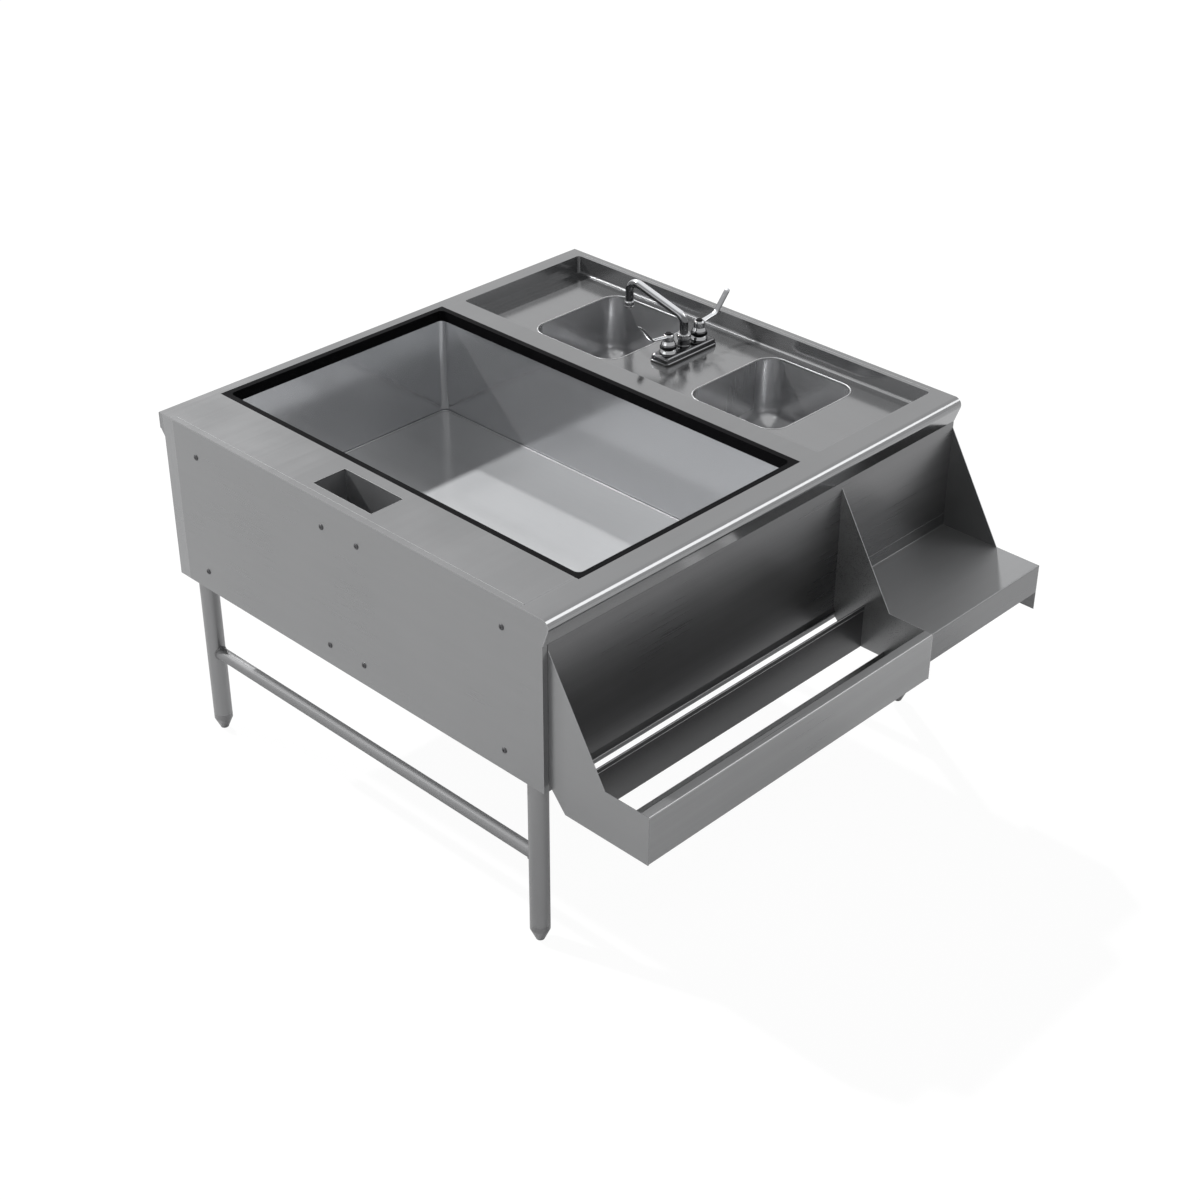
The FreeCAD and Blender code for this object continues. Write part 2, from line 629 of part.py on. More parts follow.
bin_drain_step = "shell_z - bin_floor_z - bin_drain_nut_height - thread_step"
bin_drain = turned(DRAIN_X, DRAIN_Y, "bin_floor_z", [
    (0, PLATE_FOOT),
    ("bin_drain_bore / 2", PLATE_FOOT),
    ("bin_drain_bore / 2", "0 - bin_drain_length"),
    ("bin_drain_pipe / 2", "0 - bin_drain_length"),
    ("bin_drain_pipe / 2", bin_drain_step),
    ("bin_drain_body / 2", bin_drain_step),
    ("bin_drain_body / 2", 0),
    ("bin_drain_flange / 2", 0),
    ("bin_drain_flange / 2 - drain_rim", "drain_rim"),
    ("bin_drain_bore / 2 + drain_rim", "drain_rim"),
    ("bin_drain_bore / 2", 0),
    ("bin_drain_bore / 2", PLATE_TOP),
    (0, PLATE_TOP),
])
keep(cut(bin_drain, *plate_holes()), "bin_drain")
keep(cut(hexagon(DRAIN_X, DRAIN_Y, "shell_z - bin_drain_nut_height", "bin_drain_nut_width / 2",
                 "bin_drain_nut_height"),
         rod(DRAIN_X, DRAIN_Y, "shell_z - bin_drain_nut_height", "bin_drain_body / 2",
             "bin_drain_nut_height")), "bin_drain_nut")

sleeve = block("chute_x - liner_sheet", "chute_y - liner_sheet", "underside",
               "chute_length + 2 * liner_sheet", "chute_width + 2 * liner_sheet", cabinet_height)
sleeve_hollow = block("chute_x", "chute_y", "underside", "chute_length", "chute_width", cabinet_height)
keep(cut(sleeve, sleeve_hollow), "chute_sleeve")

# ---- drainboard pan and bowls -----------------------------------------------------------------

VALVES = {"hot": "tap_x - tap_centres / 2", "cold": "tap_x + tap_centres / 2"}
BOWLS = {"front": "front_bowl_y", "rear": "rear_bowl_y"}


def bowl_hollow(y):
    return rounded_block("bowl_x", y, "bowl_floor_z", "bowl_length", "bowl_width",
                         "bowl_depth + 1", "bowl_corner", True)


def make_pan():
    pan = basin("pan_x", "pan_y", "pan_z", "pan_x_end - pan_x", "pan_y_end - pan_y",
                "deck_under", "pan_corner", "pan_sheet")
    ledge = block("pan_x", "pan_y_end - ledge_width", "pan_z - pan_sheet",
                  "pan_x_end - pan_x", "ledge_width", "pan_drop - ledge_drop + pan_sheet")
    under_ledge = block("pan_x", "pan_y_end - ledge_width + pan_sheet", "pan_z - 2 * pan_sheet",
                        "pan_x_end - pan_x", "ledge_width - pan_sheet", "pan_drop - ledge_drop + pan_sheet")
    shank_holes = [rod(x, "tap_y", "pan_z - pan_sheet - 1", "shank_width / 2 + seat_gap", "pan_sheet + 2")
                   for x in VALVES.values()]
    keep(cut(join(pan, ledge), under_ledge, *shank_holes, *[bowl_hollow(y) for y in BOWLS.values()]),
         "drainboard_pan")


make_pan()


def make_bowl(side, y):
    middle_y = y + " + bowl_width / 2"
    bowl = basin("bowl_x", y, "bowl_floor_z", "bowl_length", "bowl_width",
                 "(pan_z - pan_sheet)", "bowl_corner", "liner_sheet")
    hole = rod("bowl_mid_x", middle_y, "bowl_floor_z - liner_sheet - 1",
               "strainer_neck / 2 + seat_gap", "liner_sheet + 2")
    keep(cut(bowl, hole), side + "_sink_bowl")

    knob_top = PLATE_TOP + " + stopper_knob_height"
    keep(turned("bowl_mid_x", middle_y, "bowl_floor_z", [
        (0, knob_top),
        ("stopper_knob / 2", knob_top),
        ("stopper_knob / 2", PLATE_TOP),
        ("strainer_bore / 2", PLATE_TOP),
        ("strainer_bore / 2", 0),
        ("strainer_bore / 2 + drain_rim", "drain_rim"),
        ("strainer_flange / 2 - drain_rim", "drain_rim"),
        ("strainer_flange / 2", 0),
        ("strainer_neck / 2", 0),
        ("strainer_neck / 2", "0 - strainer_length"),
        ("strainer_bore / 2", "0 - strainer_length"),
        ("strainer_bore / 2", PLATE_FOOT),
        (0, PLATE_FOOT),
    ]), side + "_sink_strainer")

    under = "bowl_floor_z - liner_sheet"
    lock_nut = tube("bowl_mid_x", middle_y, under + " - drain_nut_height",
                    "drain_nut_width / 2", "strainer_neck / 2", "drain_nut_height")
    end = "bowl_floor_z - strainer_length"
    neck = "tailpiece_pipe / 2 + tailpiece_neck"
    slip_nut = turned("bowl_mid_x", middle_y, end, [
        (neck, "0 - 2 * tailpiece_flange"),
        ("drain_nut_width / 2 - tailpiece_flange", "0 - 2 * tailpiece_flange"),
        ("drain_nut_width / 2 - tailpiece_flange", "drain_nut_height"),
        ("strainer_neck / 2", "drain_nut_height"),
        ("strainer_neck / 2", "0 - tailpiece_flange"),
        (neck, "0 - tailpiece_flange"),
    ])
    tailpiece = turned("bowl_mid_x", middle_y, end, [
        ("tailpiece_pipe / 2 - liner_sheet", 0),
        ("strainer_neck / 2", 0),
        ("strainer_neck / 2", "0 - tailpiece_flange"),
        (neck, "0 - tailpiece_flange"),
        (neck, "0 - 2 * tailpiece_flange - thread_step"),
        ("tailpiece_pipe / 2", "0 - 2 * tailpiece_flange - thread_step"),
        ("tailpiece_pipe / 2", "0 - tailpiece_length"),
        ("tailpiece_pipe / 2 - liner_sheet", "0 - tailpiece_length"),
    ])
    return lock_nut, slip_nut, tailpiece


drain_parts = [make_bowl(side, y) for side, y in BOWLS.items()]
keep(group(*[nut for parts in drain_parts for nut in parts[:2]]), "sink_drain_nuts")
keep(group(*[parts[2] for parts in drain_parts]), "sink_tailpieces")

# ---- tap --------------------------------------------------------------------------------------

BASE_TOP = "tap_z + tap_base_height"


def make_tap_base():
    base = rounded_block("tap_x - tap_base_length / 2", "tap_y - tap_base_width / 2", "tap_z",
                         "tap_base_length", "tap_base_width", "tap_base_height", "tap_base_corner")
    top = amount("tap_base_height") - 0.01
    round_off(base, "tap_base_edge", edges_where(base.Tip.Shape, lambda edge: edge.BoundBox.ZMin > top))
    socket = rod("tap_x", "tap_y", BASE_TOP, "spout_socket / 2", "spout_socket_height")
    bore = rod("tap_x", "tap_y", BASE_TOP, "spout_pipe / 2 + stem_clearance", "spout_socket_height")
    keep(cut(join(base, socket), bore), "tap_base")


make_tap_base()

gasket = rounded_block("tap_x - tap_base_length / 2", "tap_y - tap_base_width / 2", "pan_z",
                       "tap_base_length", "tap_base_width", "gasket_sheet", "tap_base_corner")
keep(cut(gasket, *[rod(x, "tap_y", "pan_z", "shank_width / 2", "gasket_sheet") for x in VALVES.values()]),
     "tap_gasket")
shank_step = "0 - gasket_sheet - pan_sheet - shank_nut_height - thread_step"
keep(group(*[turned(x, "tap_y", "tap_z", [
    ("shank_bore / 2", 0),
    ("shank_width / 2", 0),
    ("shank_width / 2", shank_step),
    ("inlet_pipe / 2", shank_step),
    ("inlet_pipe / 2", "0 - shank_length"),
    ("shank_bore / 2", "0 - shank_length"),
]) for x in VALVES.values()]), "tap_shanks")
nut_z = "pan_z - pan_sheet - shank_nut_height"
keep(group(*[cut(hexagon(x, "tap_y", nut_z, "shank_nut_width / 2", "shank_nut_height"),
                 rod(x, "tap_y", nut_z, "shank_width / 2", "shank_nut_height"))
             for x in VALVES.values()]), "shank_nuts")
keep(group(*[tube(x, "tap_y", "ring_z", "ring_width / 2", "stem_width / 2", "ring_height")
             for x in VALVES.values()]), "valve_rings")


def make_valve(side, x, outward):
    """Bonnet, lever and cap of one valve; the lever points to outward, 1 or -1 along X."""
    keep(turned(x, "tap_y", BASE_TOP, [
        (0, 0),
        ("bonnet_foot / 2", 0),
        ("bonnet_foot / 2", "bonnet_height / 4"),
        ("bonnet_neck / 2", "bonnet_height"),
        ("stem_width / 2", "bonnet_height"),
        ("stem_width / 2", "bonnet_height + ring_height + stem_height"),
        (0, "bonnet_height + ring_height + stem_height"),
    ]), side + "_bonnet")

    hub = turned(x, "tap_y", "hub_z", [
        (0, 0),
        ("hub_width / 2", 0),
        ("hub_width / 2", "hub_height / 5"),
        ("hub_neck / 2", "hub_height / 2"),
        ("hub_neck / 2", "hub_height - cap_height"),
        ("hub_neck / 2 - cap_height", "hub_height"),
        (0, "hub_height"),
    ])
    sign = "" if outward > 0 else "0 - "
    blade_side = [
        (sign + "stem_width / 2", "lever_rise"),
        (sign + "lever_bend", "lever_rise + lever_slope"),
        (sign + "lever_reach", "lever_tip_height - lever_sheet / 2"),
        (sign + "(lever_reach - lever_sheet)", "lever_tip_height"),
        (sign + "(lever_bend - lever_sheet / 2)", "lever_rise + lever_slope + lever_sheet"),
        (sign + "stem_width / 2", "lever_rise + lever_sheet"),
    ]
    blade = doc.addObject("PartDesign::Body", "blade")
    pad = blade.newObject("PartDesign::Pad", "run")
    pad.Profile = outline(blade, "XZ_Plane", blade_side)
    bind(pad, Length="lever_width")
    pad.Midplane = True
    doc.recompute()
    beyond = amount("lever_reach - lever_sheet")
    round_off(blade, "lever_width / 3", edges_where(
        pad.Shape, lambda edge: abs(edge.CenterOfMass.x) > beyond and edge.BoundBox.YLength < 0.01))
    place(blade, x, "tap_y", "hub_z")
    bore = rod(x, "tap_y", "hub_z", "stem_width / 2 + stem_clearance", "stem_height + seat_gap")
    keep(cut(join(hub, blade), bore), side + "_lever")
    keep(rod(x, "tap_y", "hub_z + hub_height", "cap_width / 2", "cap_height"), side + "_lever_cap")


make_valve("hot", VALVES["hot"], -1)
make_valve("cold", VALVES["cold"], 1)


def bent_path(corners, radii):
    """A wire through corners in a plane of constant x, each inner corner an arc."""
    edges = []
    start = corners[0]
    for before, corner, after, radius in zip(corners, corners[1:], corners[2:], radii):
        back = (before - corner).normalize()
        ahead = (after - corner).normalize()
        half = back.getAngle(ahead) / 2
        reach = radius / math.tan(half)
        centre = corner + (back + ahead).normalize() * (radius / math.sin(half))
        middle = centre + (corner - centre).normalize() * radius
        edges.append(Part.makeLine(start, corner + back * reach))
        edges.append(Part.Arc(corner + back * reach, middle, corner + ahead * reach).toShape())
        start = corner + ahead * reach
    edges.append(Part.makeLine(start, corners[-1]))
    return Part.Wire(edges)


def make_spout():
    foot_z = amount("tap_base_height + gasket_sheet + drain_rim")
    reach = amount("spout_reach")
    peak = amount("spout_riser + spout_climb")
    corners = [FreeCAD.Vector(0, 0, foot_z), FreeCAD.Vector(0, 0, amount("spout_riser")),
               FreeCAD.Vector(0, reach, peak), FreeCAD.Vector(0, reach, peak - amount("spout_drop"))]
    path = bent_path(corners, [amount("spout_low_bend"), amount("spout_high_bend")])
    skins = []
    for radius in (amount("spout_pipe / 2"), amount("spout_pipe / 2 - spout_wall")):
        ring = Part.Wire(Part.makeCircle(radius, corners[0]))
        skins.append(path.makePipeShell([ring], True, False))
    spout = doc.addObject("Part::Feature", "spout")
    spout.Shape = skins[0].cut(skins[1])
    place(spout, "tap_x", "tap_y", "pan_z")
    keep(spout, "spout")


make_spout()
keep(tube("tap_x", "tap_y", BASE_TOP + " + spout_socket_height", "spout_socket / 2 + spout_wall",
          "spout_pipe / 2 + stem_clearance", "spout_nut_height"), "spout_nut")
outlet_z = "pan_z + spout_riser + spout_climb - spout_drop"
keep(tube("tap_x", "tap_y + spout_reach", outlet_z + " - spout_wall", "aerator_width / 2",
          "spout_pipe / 2", "aerator_height"), "aerator")

# ---- bottle rail ------------------------------------------------------------------------------

PLATE_SIDE = [
    ("front_y - panel_sheet", "deck_height - plate_drop"),
    ("lip_y + plate_waist", "rail_top"),
    ("lip_y", "rail_top"),
    ("lip_y", "rail_bottom"),
    ("front_y - plate_heel", "rail_bottom"),
    ("front_y - plate_ankle", "underside"),
    ("front_y - panel_sheet", "underside + plate_ankle"),
]
PLATES = {
    "rail_left_plate": "left_x + side_flange",
    "rail_divider": "divider_x",
    "rail_right_plate": "right_x - panel_sheet",
}
plates = [keep(bent_sheet(PLATE_SIDE, x, "panel_sheet"), label) for label, x in PLATES.items()]

BACK_PLATE_SIDE = [
    ("front_y", "deck_height - back_plate_drop"),
    ("front_y - panel_sheet", "deck_height - back_plate_drop"),
    ("front_y - panel_sheet", "back_plate_bottom + hem_height"),
    ("front_y - panel_sheet - hem_reach", "back_plate_bottom"),
    ("front_y - hem_reach", "back_plate_bottom"),
    ("front_y", "back_plate_bottom + hem_height"),
]
keep(cut(bent_sheet(BACK_PLATE_SIDE, "left_x + side_flange", "body_length - side_flange"), *plates),
     "rail_back_plate")

rail_x = "left_x + side_flange + panel_sheet"
rail_run = "divider_place - side_flange - panel_sheet"
wall_y = "front_y - rail_wall_place"
rear_wall = block(rail_x, wall_y, "rail_bottom", rail_run, "panel_sheet", "rail_wall_height")
wall_fold = block(rail_x, wall_y + " - panel_sheet", "rail_bottom + rail_wall_height - wall_hem",
                  rail_run, "panel_sheet", "wall_hem")
keep(join(rear_wall, wall_fold), "rail_rear_wall")

OUTSIDE, INSIDE = "bend_radius", "bend_radius - panel_sheet"
LIP_SIDE = [
    ("lip_y", "rail_bottom", OUTSIDE),
    ("lip_y", "rail_top", OUTSIDE),
    ("lip_y + lip_hem", "rail_top"),
    ("lip_y + lip_hem", "rail_top - panel_sheet"),
    ("lip_y + panel_sheet", "rail_top - panel_sheet", INSIDE),
    ("lip_y + panel_sheet", "rail_bottom + panel_sheet", INSIDE),
    ("lip_y + bottle_floor - panel_sheet", "rail_bottom + panel_sheet", INSIDE),
    ("lip_y + bottle_floor - panel_sheet", "rail_bottom + floor_curb"),
    ("lip_y + bottle_floor", "rail_bottom + floor_curb"),
    ("lip_y + bottle_floor", "rail_bottom", OUTSIDE),
]
keep(bent_sheet(LIP_SIDE, rail_x, rail_run), "rail_front_lip")

SHELF_SIDE = [
    ("lip_y", "rail_top - shelf_face"),
    ("lip_y", "rail_top", OUTSIDE),
    ("front_y - 2 * panel_sheet", "rail_top", INSIDE),
    ("front_y - 2 * panel_sheet", "rail_top + shelf_upturn"),
    ("front_y - panel_sheet", "rail_top + shelf_upturn"),
    ("front_y - panel_sheet", "rail_top - panel_sheet", OUTSIDE),
    ("lip_y + panel_sheet", "rail_top - panel_sheet", INSIDE),
    ("lip_y + panel_sheet", "rail_top - shelf_face"),
]
keep(bent_sheet(SHELF_SIDE, "divider_x + panel_sheet", "right_x - divider_x - 2 * panel_sheet"),
     "rail_shelf")

studs = [rod(x, "front_y", z, "stud_width / 2", "stud_length", "Y") for x, z in stud_spots]
stud_nuts = [cut(hexagon(x, "front_y + panel_sheet", z, "stud_nut_width / 2", "stud_nut_height", "Y"),
                 rod(x, "front_y + panel_sheet", z, "stud_width / 2", "stud_nut_height", "Y"))
             for x, z in stud_spots]
keep(group(*studs, *stud_nuts), "rail_fasteners")

# ---- legs -------------------------------------------------------------------------------------

LEG_X = {"left": "left_x + leg_side_inset", "right": "right_x - leg_side_inset"}
LEG_Y = {"front": "front_y + leg_end_inset", "rear": "back_y - leg_end_inset"}
LEG_FOOT = "foot_height + seat_gap"
LEG_TOP = "channel_z - socket_flange"
sockets, inserts, set_screws = [], [], []


def make_leg(end, side):
    x, y = LEG_X[side], LEG_Y[end]
    keep(tube(x, y, LEG_FOOT, "leg_pipe / 2", "leg_pipe / 2 - leg_wall", "%s - (%s)" % (LEG_TOP, LEG_FOOT)),
         "%s_%s_leg" % (end, side))
    keep(turned(x, y, 0, [
        (0, 0),
        ("foot_tip / 2", 0),
        ("leg_pipe / 2", "foot_cone"),
        ("leg_pipe / 2", "foot_height"),
        ("foot_stem / 2", "foot_height"),
        ("foot_stem / 2", "foot_height + foot_stem_length"),
        (0, "foot_height + foot_stem_length"),
    ]), "%s_%s_foot" % (end, side))
    inserts.append(tube(x, y, LEG_FOOT, "leg_pipe / 2 - leg_wall", "foot_stem / 2 + stem_clearance",
                        "insert_height"))

    inward = "Y" if end == "front" else "-Y"
    sign = "+" if end == "front" else "-"
    screw_y = "%s %s leg_pipe / 2" % (y, sign)
    screw_z = "channel_z - socket_depth / 2"
    set_screws.append(rod(x, screw_y, screw_z, "set_screw / 2", "socket_wall + set_screw_stand", inward))
    sleeve_part = tube(x, y, "channel_z - socket_depth", "leg_pipe / 2 + socket_wall", "leg_pipe / 2",
                       "socket_depth - socket_flange")
    flange = rod(x, y, LEG_TOP, "leg_side_inset - panel_sheet - socket_wall", "socket_flange")
    screw_hole = rod(x, screw_y, screw_z, "set_screw / 2", "socket_wall + set_screw_stand", inward)
    sockets.append(cut(join(sleeve_part, flange), screw_hole))


for end in LEG_Y:
    for side in LEG_X:
        make_leg(end, side)
keep(group(*sockets), "leg_sockets")
keep(group(*inserts), "leg_inserts")
keep(group(*set_screws), "set_screws")


def make_stretcher(side):
    """A tube between two legs, its ends hollowed to fit round them."""
    x = LEG_X[side]
    run = "%s - (%s)" % (LEG_Y["rear"], LEG_Y["front"])
    bar = tube(x, LEG_Y["front"], "stretcher_height", "stretcher_pipe / 2",
               "stretcher_pipe / 2 - stretcher_wall", run, "Y")
    saddles = [rod(x, y, "stretcher_height - stretcher_pipe", "leg_pipe / 2", "2 * stretcher_pipe")
               for y in LEG_Y.values()]
    keep(cut(bar, *saddles), side + "_stretcher")


make_stretcher("left")
make_stretcher("right")

# ---- check and write --------------------------------------------------------------------------

doc.recompute()
for thing in doc.Objects:
    if "Invalid" in thing.State or "Error" in thing.State:
        raise SystemExit("failed: %s (%s) %s" % (thing.Name, thing.Label, thing.State))

os.makedirs("parts", exist_ok=True)
for piece in pieces:
    shape = piece.Shape
    if shape.isNull() or not shape.isValid() or not shape.Solids:
        raise SystemExit("bad shape: " + piece.Label)
    shape.exportStep("parts/%s.step" % piece.Label)
    box = shape.BoundBox
    print("%-20s %2d solid(s) %9.1f cm3   x %7.1f %7.1f   y %7.1f %7.1f   z %6.1f %6.1f" % (
        piece.Label, len(shape.Solids), shape.Volume / 1000,
        box.XMin, box.XMax, box.YMin, box.YMax, box.ZMin, box.ZMax))
print(len(pieces), "pieces")
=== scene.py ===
# %% [markdown]
# # A bar sink with an ice bin
#
# The object is a stainless under-bar station: an insulated ice bin on the left,
# a drainboard with two sink bowls and a tap on the right, a bottle rail along the
# front, and four tube legs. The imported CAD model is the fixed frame. This lesson
# gives it its finishes, adds the small pieces that a drawing leaves out, and sets
# up the light and the camera.

import math

import bmesh
import bpy
from mathutils import Matrix, Vector


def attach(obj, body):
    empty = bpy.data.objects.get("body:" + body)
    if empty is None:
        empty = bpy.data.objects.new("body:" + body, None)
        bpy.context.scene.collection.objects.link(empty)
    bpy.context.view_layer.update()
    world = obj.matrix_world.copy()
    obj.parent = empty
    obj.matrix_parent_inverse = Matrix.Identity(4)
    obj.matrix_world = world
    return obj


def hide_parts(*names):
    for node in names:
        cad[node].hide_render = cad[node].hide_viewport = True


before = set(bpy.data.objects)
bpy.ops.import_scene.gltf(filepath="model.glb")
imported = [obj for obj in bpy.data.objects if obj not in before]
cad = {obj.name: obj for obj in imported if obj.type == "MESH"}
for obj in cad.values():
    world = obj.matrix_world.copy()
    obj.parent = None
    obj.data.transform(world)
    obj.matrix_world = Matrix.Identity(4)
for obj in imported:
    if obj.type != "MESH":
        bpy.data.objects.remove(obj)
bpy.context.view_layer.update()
scene = bpy.context.scene
scene.view_settings.view_transform = "Standard"

# %% [markdown]
# ## The camera
#
# The picture was taken from the left front corner, well above head height, with a
# short tele lens. A camera can be aimed with a constraint or by hand; here its
# three axes are worked out from two angles and a small roll, because that gives
# the same view every time and can be read off the numbers.

# %% Camera
CAMERA_PLACE = Vector((-2.7381, -2.6472, 2.7526))
CAMERA_TURN = math.radians(45.879)  # from +Y towards +X
CAMERA_DIP = math.radians(32.187)
CAMERA_ROLL = math.radians(0.260)
LENS_LENGTH, SENSOR_WIDTH = 62.44, 36  # mm

ahead = Vector((
    math.sin(CAMERA_TURN) * math.cos(CAMERA_DIP),
    math.cos(CAMERA_TURN) * math.cos(CAMERA_DIP),
    -math.sin(CAMERA_DIP),
))
level = Vector((math.cos(CAMERA_TURN), -math.sin(CAMERA_TURN), 0))
upright = level.cross(ahead)
right = math.cos(CAMERA_ROLL) * level + math.sin(CAMERA_ROLL) * upright
up = math.cos(CAMERA_ROLL) * upright - math.sin(CAMERA_ROLL) * level

lens = bpy.data.cameras.new("photographer")
lens.lens, lens.sensor_width = LENS_LENGTH, SENSOR_WIDTH
camera = bpy.data.objects.new("photographer", lens)
scene.collection.objects.link(camera)
axes = Matrix((right, up, -ahead)).transposed().to_4x4()
camera.matrix_world = Matrix.Translation(CAMERA_PLACE) @ axes
scene.camera = camera
print("camera looks along", [round(v, 3) for v in ahead])

# %% [markdown]
# ## Shader nodes
#
# Every finish in this lesson is a network of nodes. Placing them by hand in the
# editor is easy to see but slow to repeat, so they are built by small helpers: one
# adds a node and connects it, and the others do sums with the values on the wires.

# %% Node helpers


def plug(tree, node, inputs):
    """Links a node's inputs to the sockets that are given, and sets plain values."""
    for name, value in inputs.items():
        if isinstance(value, bpy.types.NodeSocket):
            tree.links.new(value, node.inputs[name])
        else:
            node.inputs[name].default_value = value


def add_node(tree, kind, inputs=None, **settings):
    """Adds a shader node, sets it up and plugs its inputs."""
    node = tree.nodes.new("ShaderNode" + kind)
    for name, value in settings.items():
        setattr(node, name, value)
    plug(tree, node, inputs or {})
    return node


def arithmetic(tree, operation, first, second):
    return add_node(tree, "Math", {0: first, 1: second}, operation=operation).outputs[0]


def times(tree, first, second):
    return arithmetic(tree, "MULTIPLY", first, second)


def plus(tree, first, second):
    return arithmetic(tree, "ADD", first, second)


print("node helpers ready")

# %% [markdown]
# ## The studio
#
# Metal shows what stands around it, so the surroundings matter more than the
# lamps. The world is white for the camera and for reflections and dim for the
# shading. Two far lamps behind the object draw the crisp patches of light in the
# ice bin, a weak one at the right front finds the rolled edges, and a broad one on
# the left lights the side panel. The apron and the rail face their own shadow on
# the floor, which is partly why the front of such a unit looks darker than its
# top; the rest is painted shade, in darker copies of the steel's tone.

# %% World
AMBIENT = 0.1
AMBIENT_BLUE = 1.03  # the dim side of the world is this much stronger in blue
WHITE = (1, 1, 1, 1)
FIRST_COLOUR, SECOND_COLOUR, MIXED_COLOUR = 6, 7, 2  # a Mix node's colour sockets

scene.world = bpy.data.worlds.new("studio")
scene.world.use_nodes = True
surround = scene.world.node_tree
ray = add_node(surround, "LightPath").outputs
direct = arithmetic(surround, "MAXIMUM", ray["Is Camera Ray"], ray["Is Glossy Ray"])
direct = arithmetic(surround, "MAXIMUM", direct, ray["Is Transmission Ray"])
shown = add_node(surround, "Mix", {"Factor": direct}, data_type="RGBA")
plug(surround, shown, {
    FIRST_COLOUR: (AMBIENT, AMBIENT, AMBIENT * AMBIENT_BLUE, 1),
    SECOND_COLOUR: WHITE,
})
plug(surround, surround.nodes["Background"], {"Color": shown.outputs[MIXED_COLOUR]})
print("ambient", AMBIENT)

# %% Lamps
LAMP_PLACE = (0, 0, 3)  # a sun shines alike from anywhere, so all stand here
LAMPS = {  # name: strength, direction of its light, width in degrees
    "back_left_lamp": (3.0, (0.33, -1, -0.96), 2.5),
    "back_right_lamp": (2.4, (-0.576, -1.05, -1), 2),
    "edge_lamp": (0.6, (-0.607, 0.42, -0.67), 30),
    "left_panel_lamp": (0.7, (1, -0.2, -0.3), 40),
}
for name, (strength, direction, width) in LAMPS.items():
    light = bpy.data.lights.new(name, "SUN")
    light.energy = strength
    light.angle = math.radians(width)
    lamp = bpy.data.objects.new(name, light)
    aimed = Vector(direction).to_track_quat("-Z", "Y").to_matrix().to_4x4()
    lamp.matrix_world = Matrix.Translation(LAMP_PLACE) @ aimed
    scene.collection.objects.link(lamp)
print("lamps", list(LAMPS))

# %% [markdown]
# ## The floor
#
# A product picture has no visible floor line, only a faint shadow. A shadow
# catcher would leave nothing for the metal to mirror, so this is a real disc. The
# camera sees it mostly as its own white, with a little of its true shading added.
# A mirror sees less of that white, so that the shadow under the object darkens the
# apron, and every other ray sees a pale painted floor.

# %% Floor
FLOOR_REACH, FLOOR_SIDES = 14, 96  # m, corners of the disc
FLOOR_DROP = 0.0005
FLOOR_PAINT = (0.82, 0.82, 0.82, 1)
BACKDROP_STRENGTH = 1.04
SHADOW_SHARE = 0.08  # how much of the true shading the camera sees
MIRRORED_WHITE = 0.4  # how much of the floor's white a mirror sees

floor_mesh = bpy.data.meshes.new("floor")
disc = bmesh.new()
bmesh.ops.create_circle(disc, cap_ends=True, segments=FLOOR_SIDES, radius=FLOOR_REACH)
disc.to_mesh(floor_mesh)
disc.free()
floor = bpy.data.objects.new("floor", floor_mesh)
floor.location.z = -FLOOR_DROP
scene.collection.objects.link(floor)

paint = bpy.data.materials.new("floor_paint")
paint.use_nodes = True
coats = paint.node_tree
coats.nodes.clear()
matt = add_node(coats, "BsdfDiffuse", {"Color": FLOOR_PAINT})
glow = add_node(coats, "Emission", {"Color": WHITE, "Strength": BACKDROP_STRENGTH})
ray = add_node(coats, "LightPath").outputs
by_camera = times(coats, ray["Is Camera Ray"], 1 - SHADOW_SHARE)
by_mirror = times(coats, ray["Is Glossy Ray"], MIRRORED_WHITE)
white_share = plus(coats, by_camera, by_mirror)
mixed = add_node(coats, "MixShader", {0: white_share, 1: matt.outputs[0], 2: glow.outputs[0]})
add_node(coats, "OutputMaterial", {"Surface": mixed.outputs[0]})
floor_mesh.materials.append(paint)
print("floor radius", FLOOR_REACH, "m")

# %% [markdown]
# ## Noise, wear and relief
#
# No real surface is even: its tone and its gloss wander a little, and its edges are
# rubbed. Noise that is read in the object's own coordinates stays on the part when
# it moves, and needs no unwrapping. A map of worn edges could be painted by hand.
# Here the Bevel node finds them, because its rounded normal differs from the face's
# own near an edge.

# %% Noise


def even_noise(tree, scale, detail):
    """Noise of one size along every axis of the object; scale is per metre."""
    place = add_node(tree, "TexCoord").outputs["Object"]
    inputs = {"Vector": place, "Scale": scale, "Detail": detail}
    return add_node(tree, "TexNoise", inputs).outputs[0]


def stretched_noise(tree, grain, across, along, detail=3.0):
    """Noise drawn out along one axis of the object."""
    scale = [across] * 3
    scale["xyz".index(grain)] = along
    place = add_node(tree, "TexCoord").outputs["Object"]
    drawn = add_node(tree, "Mapping", {"Vector": place, "Scale": scale}).outputs[0]
    inputs = {"Vector": drawn, "Scale": 1.0, "Detail": detail}
    return add_node(tree, "TexNoise", inputs).outputs[0]


def spread(tree, value, low, high, start=0.3, stop=0.7):
    """Maps a noise value, which sits near a half, on to low..high."""
    inputs = {"Value": value, 1: start, 2: stop, 3: low, 4: high}
    return add_node(tree, "MapRange", inputs).outputs[0]


def vary(tree, noise, middle, below, above=None):
    """Lets a value swing about its middle with a noise, as far up as down unless told."""
    return spread(tree, noise, middle - below, middle + (below if above is None else above))


def tinted(tree, tone, brightness):
    """A colour times a brightness from nodes."""
    inputs = {0: tone, "Scale": brightness}
    return add_node(tree, "VectorMath", inputs, operation="SCALE").outputs[0]


print("noise helpers ready")

# %% Wear and relief
BEVEL_SAMPLES = 4
FULLY_RUBBED = 0.8  # likeness of the rounded and the flat normal on a bare edge


